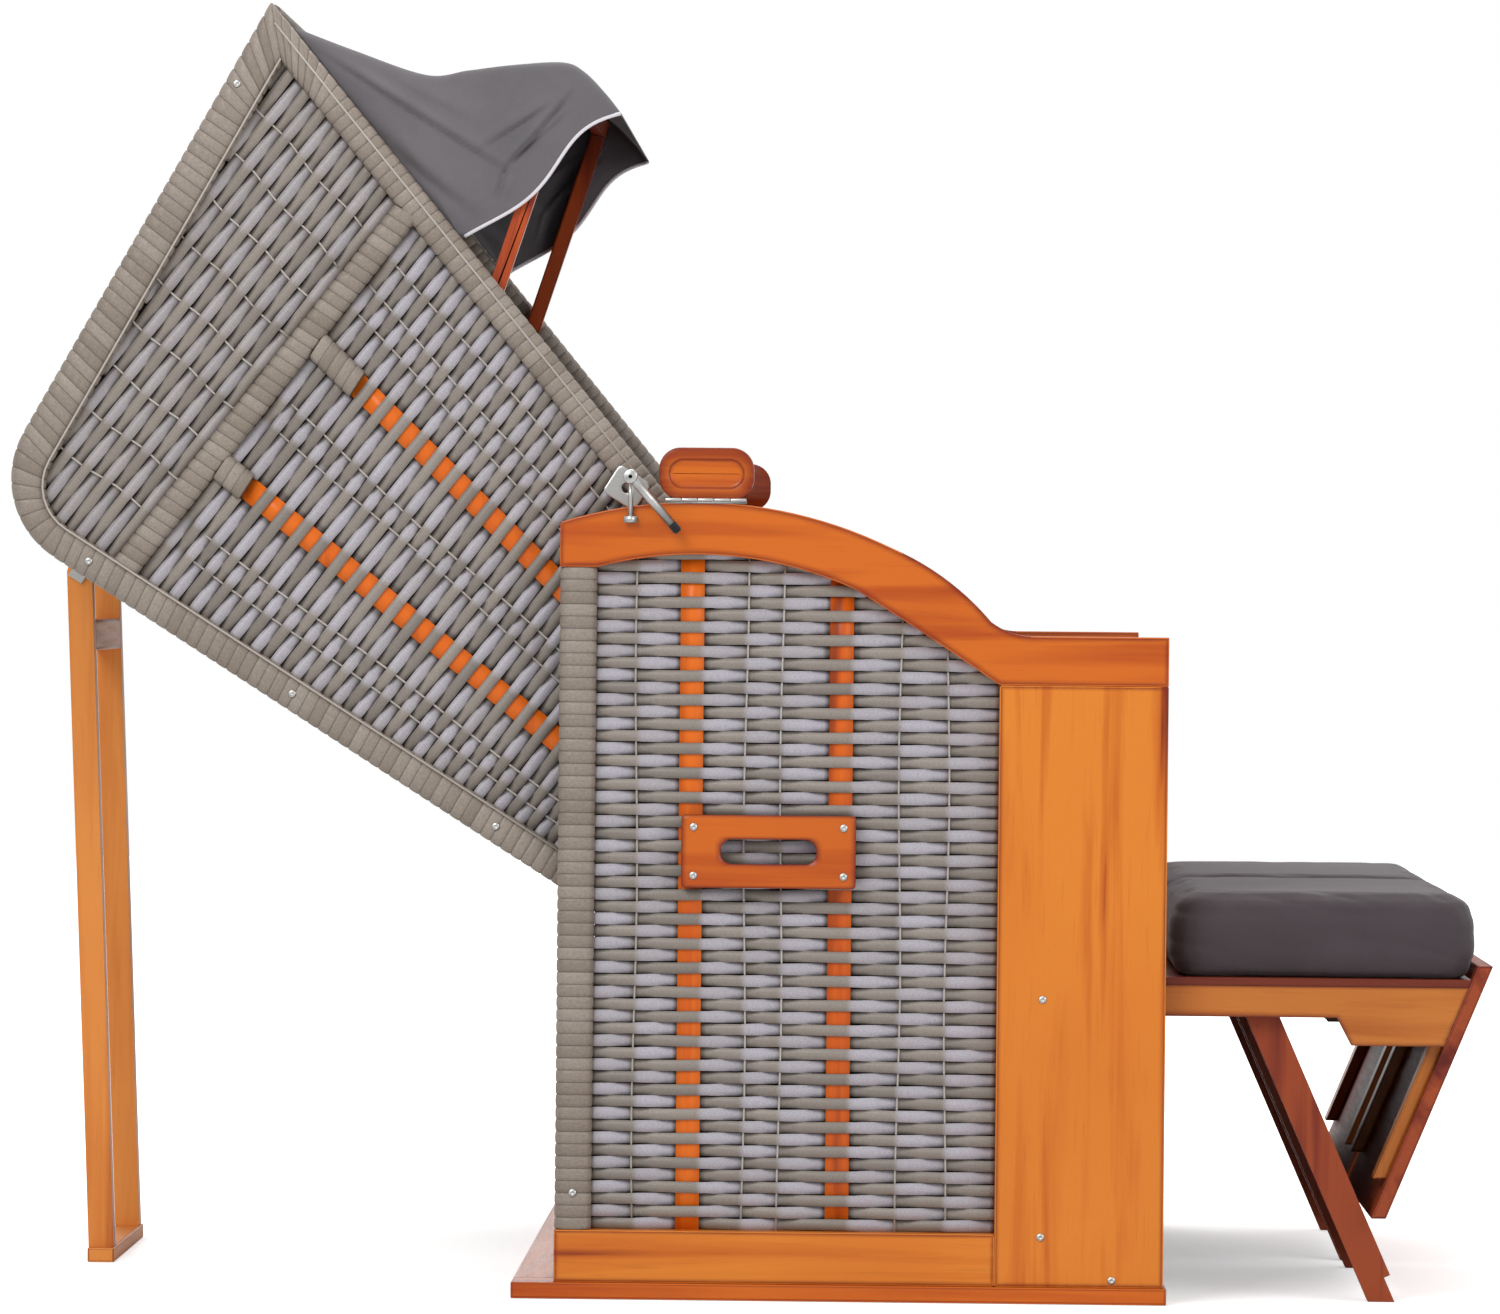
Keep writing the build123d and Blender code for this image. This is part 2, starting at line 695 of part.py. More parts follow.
def build_hood():
    frame = hood_frame()
    bore = across(bolt_radius + bolt_fit, 0, 0, -hood_out, -hood_in)
    weave = hood_weave(frame) - bore
    save("hood_frame_near", laid_back(frame))
    save("hood_frame_far", laid_back(other_side(frame)))
    save("hood_weave_near", laid_back(weave))
    save("hood_weave_far", laid_back(other_side(weave)))
    stakes = hood_stakes()
    save("hood_stakes", [laid_back(s) for s in stakes + [other_side(s) for s in stakes]])

    inner = hood_slab(hood_face(0, 0, 0, 0, hood_corner_round), -hood_in, hood_in)
    hollow = hood_slab(hood_face(roof_thick, -2 * roof_rim, roof_thick, -2 * roof_rim,
                                 hood_corner_round - roof_thick), -hood_in, hood_in)
    shell = inner - hollow
    split_w = hood_corner_w - hood_corner_round
    far_u = 2 * hood_front(hood_roof_front_w)
    low_box = box(-far_u, far_u, -hood_in, hood_in, -far_u, split_w)
    roof = shell - low_box
    back = shell & low_box
    back = back & box(-far_u, hood_back_u + roof_thick, -hood_in, hood_in, hood_low_w, split_w)
    save("hood_roof", laid_back(roof))
    save("hood_back", laid_back(back))
    y_out = hood_in - cushion_gap
    back_u = hood_back_u + roof_thick + face_gap
    pad = cushion(-(back_cushion_top_w), -back_cushion_low_w, -y_out, -cushion_gap / 2, back_u,
                  back_u + back_cushion_thick)
    pad = Rot(0, 90, 0) * pad
    save("back_cushion_near", laid_back(pad))
    save("back_cushion_far", laid_back(other_side(pad)))


def build_hood_fittings():
    bolt = across(bolt_radius, 0, 0, -half_width, -hood_in + bolt_head)
    bolt = bolt + head(bolt_head_radius, bolt_sides, 0, 0, -hood_in, -hood_in + bolt_head)
    save("hood_bolts", [laid_back(bolt), laid_back(other_side(bolt))])
    rim_mid = hood_back_u + back_rim / 2
    spots = [(rim_mid, bar_back_w + hood_screw_rise - row * hood_screw_pitch) for row in range(3)]
    roof_u = hood_front(hood_roof_front_w) - roof_screw_inset
    spots.append((roof_u, hood_roof(roof_u) - screw_radius * 3))
    heads = screw_heads(spots, -hood_out)
    plate_w = (lock_z - pivot_z) * cos(radians(recline))
    plate_u = hood_front(plate_w) - lock_plate_length / 2 - screw_radius
    plate = box(plate_u - lock_plate_length / 2, plate_u + lock_plate_length / 2,
                -hood_out - lock_plate, -hood_out, plate_w - lock_plate_height / 2,
                plate_w + lock_plate_height / 2)
    heads.append(plate)
    save("hood_fittings", [laid_back(h) for h in heads + [other_side(h) for h in heads]])


def build_awning():
    save("awning_hoop", laid_back(hoop()))
    save("awning_cloth", laid_back(awning_cloth()))


def build_leg():
    top_x, top_z = leg_hinge()
    out = leg_width / 2
    half = post_wide / 2
    reach = top_z - foot_thick
    post = box(-half, half, -out, -out + post_deep, -reach - foot_thick - cut_over, 0)
    post = post + across(half, 0, 0, -out, -out + post_deep)
    post = leg_frame(post) & box(-skid_length * 2, 0, -out, out, foot_thick, skid_length * 2)
    pin_hole = across(hinge_pin_radius + bolt_fit, top_x, top_z, -out, -out + post_deep)
    post = post - pin_hole
    save("leg_post_near", post)
    save("leg_post_far", other_side(post))
    rail_top_z = -leg_rail_drop
    rail = box(-half, half, -out + post_deep, out - post_deep, rail_top_z - leg_rail_height, rail_top_z)
    save("leg_rail", leg_frame(rail))
    save("leg_foot", box(leg_foot_x - foot_wide / 2, leg_foot_x + foot_wide / 2, -foot_length / 2,
                         foot_length / 2, 0, foot_thick))
    hinges = []
    cheek_in = -out - face_gap
    hinge_u = hood_back_u - leg_hinge_out
    leaf = box(hood_back_u - hinge_leaf, hood_back_u, cheek_in - hinge_cheek, cheek_in,
               leg_hinge_w - hinge_leaf_height / 2, leg_hinge_w + hinge_leaf_height / 2)
    ear = box(hinge_u - 2 * hinge_pin_radius, hood_back_u, cheek_in - hinge_cheek / 2, cheek_in,
              leg_hinge_w - 2 * hinge_pin_radius, leg_hinge_w + 2 * hinge_pin_radius)
    pin = across(hinge_pin_radius, hinge_u, leg_hinge_w, cheek_in - hinge_cheek / 2, -out + post_deep)
    hinge = leaf + ear + pin
    hinges.append(laid_back(hinge))
    hinges.append(laid_back(other_side(hinge)))
    save("leg_hinges", hinges)


def foot_front_line(z):
    """Forward place of the outer face of a footrest's front board at a height."""
    lean = tan(radians(foot_front_lean))
    return foot_front_top_x + foot_front_thick / cos(radians(foot_front_lean)) \
        - (foot_front_top - z) * lean


def leaning_board(front_gap, thick, z0, z1, y0, y1):
    """Board parallel to the footrest's front, set back from its outer face."""
    slope = cos(radians(foot_front_lean))
    gap = front_gap / slope
    deep = thick / slope
    points = [
        (foot_front_line(z0) - gap, z0), (foot_front_line(z1) - gap, z1),
        (foot_front_line(z1) - gap - deep, z1), (foot_front_line(z0) - gap - deep, z0),
    ]
    return polygon(points, y0, y1)


def behind_front(z):
    """Point on the inner face of a footrest's front board at a height."""
    return (foot_front_line(z) - foot_front_thick / cos(radians(foot_front_lean)), z)


def footrest_leg(y0, y1):
    """Swing leg of a footrest: two posts, a board in front of them and pivot ends."""
    drop = foot_leg_z / sin(radians(foot_leg_angle))
    half = foot_leg_wide / 2
    inner0 = y0 + foot_leg_thick
    inner1 = y1 - foot_leg_thick
    parts = box(-half, half, y0, inner0, -drop - half, half)
    parts = parts + box(-half, half, inner1, y1, -drop - half, half)
    parts = parts + box(half, half + foot_leg_panel, y0, y1, -drop + foot_leg_panel_short, -half)
    leg = Pos(foot_leg_x, 0, foot_leg_z) * Rot(0, foot_leg_angle - 90, 0) * parts
    leg = leg & box(0, skid_length * 2, y0, y1, 0, skid_length * 2)
    return leg - across(hinge_pin_radius + bolt_fit, foot_leg_x, foot_leg_z,
                        y0 - cut_over, y1 + cut_over)


def build_footrest():
    y0 = -wall_in + foot_side_gap
    y1 = -divider_thick / 2 - foot_side_gap
    cushion_low = foot_deck_top + face_gap
    pad = cushion(foot_cushion_rear_x, foot_cushion_front_x, y0, y1, cushion_low, foot_cushion_top)
    pad = pad - leaning_board(0, foot_front_thick + 2 * face_gap, foot_rail_low, foot_front_top + face_gap,
                              y0 - cut_over, y1 + cut_over)
    deck = polygon([(foot_rail_rear_x, foot_deck_low), behind_front(foot_deck_low),
                    behind_front(foot_deck_top), (foot_rail_rear_x, foot_deck_top)], y0, y1)
    points = [
        (foot_rail_rear_x, foot_rail_low), (foot_drop_x, foot_rail_low), (foot_drop_end_x, foot_drop_low),
        behind_front(foot_drop_low), behind_front(foot_deck_low), (foot_rail_rear_x, foot_deck_low),
    ]
    lay = y1 - foot_rail_thick
    leg_y0 = y0 + foot_rail_thick + foot_leg_round_gap
    leg_y1 = y1 - foot_rail_thick - foot_leg_round_gap
    rails = [polygon(points, r0, r0 + foot_rail_thick) for r0 in (y0, lay)]
    pin0 = across(hinge_pin_radius, foot_leg_x, foot_leg_z, y0 + foot_rail_thick,
                  leg_y0 + foot_leg_thick)
    pin1 = across(hinge_pin_radius, foot_leg_x, foot_leg_z, leg_y1 - foot_leg_thick, lay)
    rails[0] = rails[0] + pin0
    rails[1] = rails[1] + pin1
    front = leaning_board(0, foot_front_thick, foot_front_low, foot_front_top, y0, y1)
    battens = []
    for b0 in (y0 + foot_rail_thick, lay - batten_width):
        batten = leaning_board(foot_front_thick, batten_thick, batten_low, foot_deck_low,
                               b0, b0 + batten_width)
        battens.append(batten)
    leg = footrest_leg(leg_y0, leg_y1)
    for name, shape in (("cushion", pad), ("deck", deck), ("rails", rails), ("front", front),
                        ("battens", battens), ("leg", leg)):
        save("footrest_" + name + "_near", shape)
        far = [other_side(s) for s in shape] if isinstance(shape, list) else other_side(shape)
        save("footrest_" + name + "_far", far)


def build_armrest_fittings():
    low = arm_crest_top + leaf_thick
    tray_y = -half_width + tray_thick
    half = tray_length / 2
    x0, x1 = tray_x - half, tray_x + half
    z0, z1 = low, low + tray_height
    edges = [
        Line((x0 + tray_arc, 0, z0), (x1 - tray_arc, 0, z0)),
        ThreePointArc((x1 - tray_arc, 0, z0), (x1, 0, (z0 + z1) / 2), (x1 - tray_arc, 0, z1)),
        Line((x1 - tray_arc, 0, z1), (x0 + tray_arc, 0, z1)),
        ThreePointArc((x0 + tray_arc, 0, z1), (x0, 0, (z0 + z1) / 2), (x0 + tray_arc, 0, z0)),
    ]
    tray = slab(edges, -half_width, tray_y)
    recess = Pos(tray_x, -half_width + tray_recess_deep, (z0 + z1) / 2) * Rot(90, 0, 0) * extrude(
        SlotOverall(tray_recess_length, tray_recess_height), amount=tray_recess_deep)
    barrel = Pos(tray_x, -half_width, low) * Rot(0, 90, 0)
    tray = tray - recess
    tray = tray - barrel * Cylinder(tray_barrel_radius + bolt_fit, leaf_length + face_gap)
    save("tray_near", tray)
    save("tray_far", other_side(tray))
    leaf_low = arm_crest_top - leaf_thick
    leaf = box(tray_x - leaf_length / 2, tray_x + leaf_length / 2, -half_width, -half_width + leaf_width,
               leaf_low, low)
    leaf = leaf - armrest() + barrel * Cylinder(tray_barrel_radius, leaf_length)
    tip_y = -half_width - lock_arm_radius - lock_fit
    ball = Pos(lock_x, tip_y, lock_z) * Sphere(lock_ball_radius)
    rod_low = arm_crest_top - 3 * lock_ball_radius
    rod = Pos(lock_x, tip_y, (rod_low + lock_z) / 2) * Cylinder(lock_post_radius, lock_z - rod_low)
    foot = box(lock_x - lock_ball_radius, lock_x + lock_ball_radius, tip_y - lock_post_radius, -half_width,
               rod_low - lock_ball_radius, rod_low)
    post = ball + rod + foot
    eye_y1 = tip_y - lock_ball_radius - face_gap
    eye_y0 = eye_y1 - lock_eye_length
    arm_y = (eye_y0 + eye_y1) / 2
    pin = across(lock_pin_radius, lock_x, lock_z, eye_y0, tip_y)
    post = post + pin
    save("armrest_fittings", [leaf, post, other_side(leaf), other_side(post)])
    arm = Pos(0, arm_y, -lock_arm_length / 2) * Cylinder(lock_arm_radius, lock_arm_length)
    arm = arm + across(lock_arm_radius + lock_post_radius, 0, 0, eye_y0, eye_y1)
    arm = Pos(lock_x, 0, lock_z) * Rot(0, lock_arm_angle - 90, 0) * arm
    arm = arm - across(lock_pin_radius + bolt_fit, lock_x, lock_z,
                       eye_y0 - cut_over, eye_y1 + cut_over)
    save("lock_lever_near", arm)
    save("lock_lever_far", other_side(arm))


build_steps = (build_base, build_seat, build_hood, build_hood_fittings, build_awning, build_leg,
               build_footrest, build_armrest_fittings)

if __name__ == "__main__":
    os.makedirs("parts", exist_ok=True)
    for step in build_steps:
        step()
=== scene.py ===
"""Dressed look of a hooded beach chair, laid back, with its footrests out.

Metres. X points forward, Y runs across the chair, Z up, as in the frame."""
import json
import math
import random

import bmesh
import bpy
from mathutils import Matrix, Vector, noise
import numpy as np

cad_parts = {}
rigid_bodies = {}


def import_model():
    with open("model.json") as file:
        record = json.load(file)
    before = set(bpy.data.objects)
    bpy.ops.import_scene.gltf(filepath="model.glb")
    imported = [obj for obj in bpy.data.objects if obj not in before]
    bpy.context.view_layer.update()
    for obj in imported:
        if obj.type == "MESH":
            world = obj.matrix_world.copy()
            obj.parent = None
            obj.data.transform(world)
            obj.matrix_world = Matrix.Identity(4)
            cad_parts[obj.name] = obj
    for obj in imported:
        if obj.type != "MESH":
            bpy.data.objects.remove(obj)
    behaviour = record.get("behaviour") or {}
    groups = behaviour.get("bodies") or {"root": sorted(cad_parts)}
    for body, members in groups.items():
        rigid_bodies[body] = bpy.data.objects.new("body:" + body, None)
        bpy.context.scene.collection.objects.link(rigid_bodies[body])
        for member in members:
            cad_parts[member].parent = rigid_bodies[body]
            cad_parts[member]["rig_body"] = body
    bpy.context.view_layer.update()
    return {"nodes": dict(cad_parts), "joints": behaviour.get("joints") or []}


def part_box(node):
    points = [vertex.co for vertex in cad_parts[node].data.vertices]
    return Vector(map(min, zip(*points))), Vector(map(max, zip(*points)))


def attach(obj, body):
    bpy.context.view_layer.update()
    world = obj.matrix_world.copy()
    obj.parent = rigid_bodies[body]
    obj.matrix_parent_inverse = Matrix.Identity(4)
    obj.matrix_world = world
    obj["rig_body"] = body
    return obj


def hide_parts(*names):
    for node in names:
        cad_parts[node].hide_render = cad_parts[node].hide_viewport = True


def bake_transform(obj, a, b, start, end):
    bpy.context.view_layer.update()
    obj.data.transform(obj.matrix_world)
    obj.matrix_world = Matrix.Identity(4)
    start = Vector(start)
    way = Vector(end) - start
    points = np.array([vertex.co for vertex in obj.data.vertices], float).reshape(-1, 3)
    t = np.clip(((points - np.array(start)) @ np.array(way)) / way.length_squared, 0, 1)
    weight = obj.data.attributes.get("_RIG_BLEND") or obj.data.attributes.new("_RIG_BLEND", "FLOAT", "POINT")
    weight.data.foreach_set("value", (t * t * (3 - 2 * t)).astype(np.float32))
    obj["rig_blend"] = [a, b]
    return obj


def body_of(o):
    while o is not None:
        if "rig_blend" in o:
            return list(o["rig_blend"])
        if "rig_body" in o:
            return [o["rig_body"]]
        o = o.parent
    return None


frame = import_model()
SIDES = (("near", -1), ("far", 1))
SEED = 7
RNG = random.Random(SEED)
SAME, TINY = 1e-5, 1e-9
SQUARE = ((-1, -1), (1, -1), (1, 1), (-1, 1))
AHEAD, ACROSS, UP = Vector((1, 0, 0)), Vector((0, 1, 0)), Vector((0, 0, 1))


def low(node):
    return Vector(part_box(node)[0])


def high(node):
    return Vector(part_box(node)[1])


def box(node):
    return low(node), high(node)


def within(value, least=0.0, most=1.0):
    return min(max(value, least), most)


def xz(point, y=0.0):
    """Point of the chair from a point of a side's plane."""
    return Vector((point.x, y, point.y))


def link(name, data):
    """New object in the scene."""
    obj = bpy.data.objects.new(name, data)
    bpy.context.scene.collection.objects.link(obj)
    return obj


# Camera: the picture plane stands along the chair's near side
CAM_X, CAM_Z = 0.0648, 0.869
CAM_DISTANCE = 9.1
CAM_REACH = 60
SENSOR_MM = 36
PHOTO_W, PHOTO_H = 1500, 1314
VANISH_PX = (898, 590)
METRES_PER_PX = 0.0012195
ROLL = math.radians(0.55)
NEAR_Y = -0.600


def make_camera():
    focal_px = CAM_DISTANCE / METRES_PER_PX
    cam = link("camera", bpy.data.cameras.new("camera"))
    cam.data.sensor_width = SENSOR_MM
    cam.data.lens = SENSOR_MM * focal_px / PHOTO_W
    cam.data.clip_end = CAM_REACH
    right = Vector((math.cos(ROLL), 0, math.sin(ROLL)))
    up = Vector((-math.sin(ROLL), 0, math.cos(ROLL)))
    off_x = (PHOTO_W / 2 - VANISH_PX[0]) / focal_px
    off_y = -(PHOTO_H / 2 - VANISH_PX[1]) / focal_px
    look = (Vector((0, 1, 0)) + right * off_x + up * off_y).normalized()
    side = look.cross(up).normalized()
    top = side.cross(look).normalized()
    turn = Matrix((side, top, -look)).transposed().to_4x4()
    cam.matrix_world = Matrix.Translation((CAM_X, NEAR_Y - CAM_DISTANCE, CAM_Z)) @ turn
    bpy.context.scene.camera = cam


# Materials


class Nodes:
    """Short helper for building one material's node tree."""

    def __init__(self, name):
        self.mat = bpy.data.materials.new(name)
        self.mat.use_nodes = True
        self.tree = self.mat.node_tree
        self.bsdf = self.tree.nodes["Principled BSDF"]

    def add(self, kind):
        return self.tree.nodes.new(kind)

    def put(self, socket, value):
        if isinstance(value, bpy.types.NodeSocket):
            self.tree.links.new(value, socket)
        else:
            socket.default_value = value

    def coords(self, scale, vector=None):
        mapping = self.add("ShaderNodeMapping")
        self.put(mapping.inputs["Vector"], vector or self.add("ShaderNodeTexCoord").outputs["Object"])
        mapping.inputs["Scale"].default_value = scale
        return mapping.outputs["Vector"]

    def noise(self, scale, size, detail=3.0, rough=0.5, distortion=0.0, vector=None):
        node = self.add("ShaderNodeTexNoise")
        self.put(node.inputs["Vector"], self.coords(scale, vector))
        node.inputs["Scale"].default_value = size
        node.inputs["Detail"].default_value = detail
        node.inputs["Roughness"].default_value = rough
        node.inputs["Distortion"].default_value = distortion
        return node.outputs["Fac"]

    def wave(self, direction, size, vector=None):
        node = self.add("ShaderNodeTexWave")
        node.bands_direction = direction
        self.put(node.inputs["Vector"], self.coords((1, 1, 1), vector))
        node.inputs["Scale"].default_value = size
        return node.outputs["Fac"]

    def ramp(self, value, *stops):
        node = self.add("ShaderNodeValToRGB")
        self.put(node.inputs["Fac"], value)
        ramp = node.color_ramp
        while len(ramp.elements) < len(stops):
            ramp.elements.new(0.5)
        for element, (place, colour) in zip(ramp.elements, stops):
            element.position = place
            colour = colour if isinstance(colour, (tuple, list)) else (colour,) * 3
            element.color = (*colour, 1)
        return node.outputs["Color"]

    def mix(self, factor, a, b):
        """Mix of two colours: the node's colour sockets are 6 and 7, and its colour output is 2."""
        node = self.add("ShaderNodeMix")
        node.data_type = "RGBA"
        self.put(node.inputs[0], factor)
        for socket, value in ((node.inputs[6], a), (node.inputs[7], b)):
            self.put(socket, (*value, 1) if isinstance(value, tuple) else value)
        return node.outputs[2]

    def math(self, op, *values):
        node = self.add("ShaderNodeMath")
        node.operation = op
        for socket, value in zip(node.inputs, values):
            self.put(socket, value)
        return node.outputs[0]

    def attribute(self, name):
        node = self.add("ShaderNodeAttribute")
        node.attribute_name = name
        return node.outputs["Fac"]

    def bump(self, height, strength, distance):
        node = self.add("ShaderNodeBump")
        self.put(node.inputs["Height"], height)
        node.inputs["Strength"].default_value = strength
        node.inputs["Distance"].default_value = distance
        self.put(self.bsdf.inputs["Normal"], node.outputs["Normal"])

    def finish(self, colour, rough, **levels):
        self.put(self.bsdf.inputs["Base Color"], (*colour, 1) if isinstance(colour, tuple) else colour)
        self.put(self.bsdf.inputs["Roughness"], rough)
        for name, level in levels.items():
            self.bsdf.inputs[name.replace("_", " ")].default_value = level
        return self.mat


def srgb(r, g, b):
    """A colour written as it looks on screen, 0 to 255."""
    out = []
    for c in (r, g, b):
        c = c / 255
        out.append(c / 12.92 if c <= 0.04045 else ((c + 0.055) / 1.055) ** 2.4)
    return tuple(out)


def wood(name, light, dark, stain, along, gloss, coat):
    """Stained wood: long grain along one axis, darker stain where the edge attribute says so."""
    n = Nodes(name)
    stretch = [9.0, 9.0, 9.0]
    stretch["XYZ".index(along)] = 0.5
    warp = n.noise(stretch, size=2.4, detail=4.0, distortion=0.5)
    fine = n.noise([s * 3.2 for s in stretch], size=6.0, rough=0.6)
    broad = n.noise((1.3, 1.3, 1.3), size=2.2, detail=2.0)
    grain = n.ramp(warp, (0.30, stain), (0.37, dark), (0.48, light), (0.58, light), (0.70, dark))
    tone = n.mix(n.ramp(broad, (0.40, 0.0), (0.75, 0.5)), grain, dark)
    streak = n.mix(n.ramp(fine, (0.58, 0.0), (0.85, 0.22)), tone, stain)
    uneven = n.math("MULTIPLY", n.attribute("stain"), n.ramp(fine, (0.25, 0.75), (0.7, 1.0)))
    edge = n.ramp(uneven, (0.0, 0.0), (0.4, 0.25), (1.0, 0.95))
    n.bump(fine, strength=0.10, distance=0.0005)
    rough = n.ramp(fine, (0.3, gloss), (0.8, gloss + 0.16))
    return n.finish(n.mix(edge, streak, stain), rough, Coat_Weight=coat, Coat_Roughness=0.2,
                    Specular_IOR_Level=0.22)


def strip(name, front, pale, back, shade, gloss):
    """Flat plaited plastic strip: warm in front, with a painted silvery sheen where it slopes from in front
    of one stake to behind the next, and painted shade where the dark mark says so.
    """
    n = Nodes(name)
    uv = n.add("ShaderNodeUVMap").outputs["UV"]
    fibres = n.noise((3.0, 6.0, 1.0), size=6.0, rough=0.6, vector=uv)
    streaks = n.noise((12.0, 0.6, 1.0), size=8.0, detail=2.0, rough=0.6, vector=uv)
    colour = front
    # tone, fibres and streaks are the plastic's own colour; the sheen mark paints a silvery sheen and the
    # dark mark paints shade
    for value, start, end, level, other in (
            (n.attribute("tone"), 0.0, 1.0, 1.0, pale), (n.attribute("under"), 0.1, 1.0, 1.0, back),
            (fibres, 0.4, 0.8, 0.4, shade), (streaks, 0.45, 0.8, 0.25, shade),
            (n.attribute("dark"), 0.2, 1.0, 0.8, shade)):
        colour = n.mix(n.ramp(value, (start, 0.0), (end, level)), colour, other)
    n.bump(fibres, strength=0.3, distance=0.0005)
    return n.finish(colour, n.ramp(fibres, (0.3, gloss - 0.08), (0.8, gloss + 0.2)), Specular_IOR_Level=0.5)


def cloth(name, base, pale):
    """Plain woven outdoor cloth with soft fading."""
    n = Nodes(name)
    broad = n.noise((1, 1, 1), size=5.0, detail=4.0, rough=0.6)
    fine = n.noise((1, 1, 1), size=160.0, detail=2.0, rough=0.6)
    weave = n.math("MULTIPLY", *(n.wave(way, THREADS / math.tau) for way in ("X", "DIAGONAL")))
    colour = n.mix(n.ramp(broad, (0.3, 0.0), (0.75, 0.8)), base, pale)
    colour = n.mix(n.ramp(fine, (0.4, 0.0), (0.8, 0.25)), colour, pale)
    n.bump(n.math("ADD", weave, fine), strength=0.25, distance=0.0004)
    rough = n.ramp(fine, (0.2, 0.78), (0.8, 0.95))
    return n.finish(colour, rough, Specular_IOR_Level=0.25, Sheen_Weight=SHEEN)


def metal(name, base, rough):
    """Plated steel with painted shade on the sides that face down or forward."""
    n = Nodes(name)
    scratch = n.noise((1, 1, 12), size=60.0, rough=0.6)
    n.bump(scratch, strength=0.08, distance=0.0003)
    turn = n.add("ShaderNodeSeparateXYZ")
    n.put(turn.inputs[0], n.add("ShaderNodeNewGeometry").outputs["Normal"])
    lean = n.math("SUBTRACT", turn.outputs["Z"], turn.outputs["X"])
    lit = n.math("MULTIPLY_ADD", lean, 0.35, 0.5)
    shade = n.ramp(lit, (0.22, 0.30), (0.40, 0.85), (0.52, 0.5), (0.75, 1.0))
    dull = n.mix(n.ramp(scratch, (0.3, 0.0), (0.8, 0.5)), base, tuple(c * 0.6 for c in base))
    # Painted shade: the base darkened to 0.28 of itself on the sides that face down or forward
    colour = n.mix(shade, tuple(c * 0.28 for c in base), dull)
    return n.finish(colour, n.ramp(scratch, (0.2, rough), (0.8, rough + 0.2)), Metallic=1.0)


THREADS = 900.0
SHEEN = 0.2
STEEL, STEEL_ROUGH = (0.62, 0.62, 0.60), 0.26
# Each wood: its light and dark grain, its stain, the axes that its boards run along, its gloss and coat
WOODS = {
    "honey": ((200, 100, 26), (172, 72, 16), (112, 26, 8), "XY", 0.26, 0.10),
    "pale": ((212, 124, 40), (192, 98, 26), (112, 26, 8), "XZ", 0.26, 0.10),
    "red": ((176, 74, 28), (140, 48, 20), (84, 22, 12), "Z", 0.26, 0.10),
    "deck": ((112, 44, 24), (84, 28, 16), (84, 22, 12), "X", 0.26, 0.10),
    "front": ((150, 68, 34), (118, 44, 24), (84, 22, 12), "YZ", 0.40, 0.04),
    "batten": ((186, 112, 46), (162, 86, 32), (92, 28, 12), "XZ", 0.26, 0.10),
    "leg": ((226, 142, 66), (204, 116, 46), (150, 72, 30), "YZ", 0.34, 0.10),
    "accent": ((218, 104, 20), (196, 84, 14), (140, 54, 16), "Z", 0.35, 0.10),
}
# Each strip: its front, paler front, painted sheen colour, shade (for its fibres and its painted shade), and
# its gloss
STRIPS = {
    "strip": ((124, 116, 108), (146, 137, 128), (178, 174, 184), (66, 58, 54), 0.42),
    "wrap": ((128, 116, 104), (150, 139, 128), (160, 152, 148), (74, 64, 58), 0.48),
    "stake": ((166, 158, 150), (184, 176, 168), (176, 168, 162), (126, 116, 108), 0.45),
}
# Each cloth: its colour and its faded colour
CLOTHS = {
    "lining": ((44, 39, 37), (58, 52, 50)), "awning": ((92, 89, 92), (112, 108, 112)),
    "cushion": ((56, 48, 52), (70, 62, 66)), "piping": ((206, 202, 208), (228, 224, 228)),
    "rubber": ((22, 22, 24), (34, 34, 36)),
}


def make_materials():
    mats = {"steel": metal("zinc-plated steel", STEEL, STEEL_ROUGH)}
    for name, (light, dark, stain, axes, gloss, coat) in WOODS.items():
        for axis in axes:
            colours = (srgb(*c) for c in (light, dark, stain))
            mats[f"{name}_{axis}"] = wood(f"{name} wood along {axis}", *colours, axis, gloss, coat)
    for name, (*colours, gloss) in STRIPS.items():
        mats[name] = strip(f"plastic {name}", *(srgb(*c) for c in colours), gloss)
    for name, colours in CLOTHS.items():
        mats[name] = cloth(f"{name} cloth", *(srgb(*c) for c in colours))
    return mats


MATS = make_materials()


# Mesh helpers


def new_object(name, verts, faces, mats, smooth=True):
    mesh = bpy.data.meshes.new(name)
    mesh.from_pydata([tuple(v) for v in verts], [], faces)
    for mat in mats:
        mesh.materials.append(mat)
    mesh.polygons.foreach_set("use_smooth", [smooth] * len(mesh.polygons))
    mesh.update()
    return link(name, mesh)


def settle(obj, body, slot, *nodes):
    """Carries a piece on a body and hides the nodes that it shows; its material slot is not used."""
    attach(obj, body)
    if nodes:
        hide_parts(*nodes)


UV_PER_METRE = 20
UV_SHIFT = 3


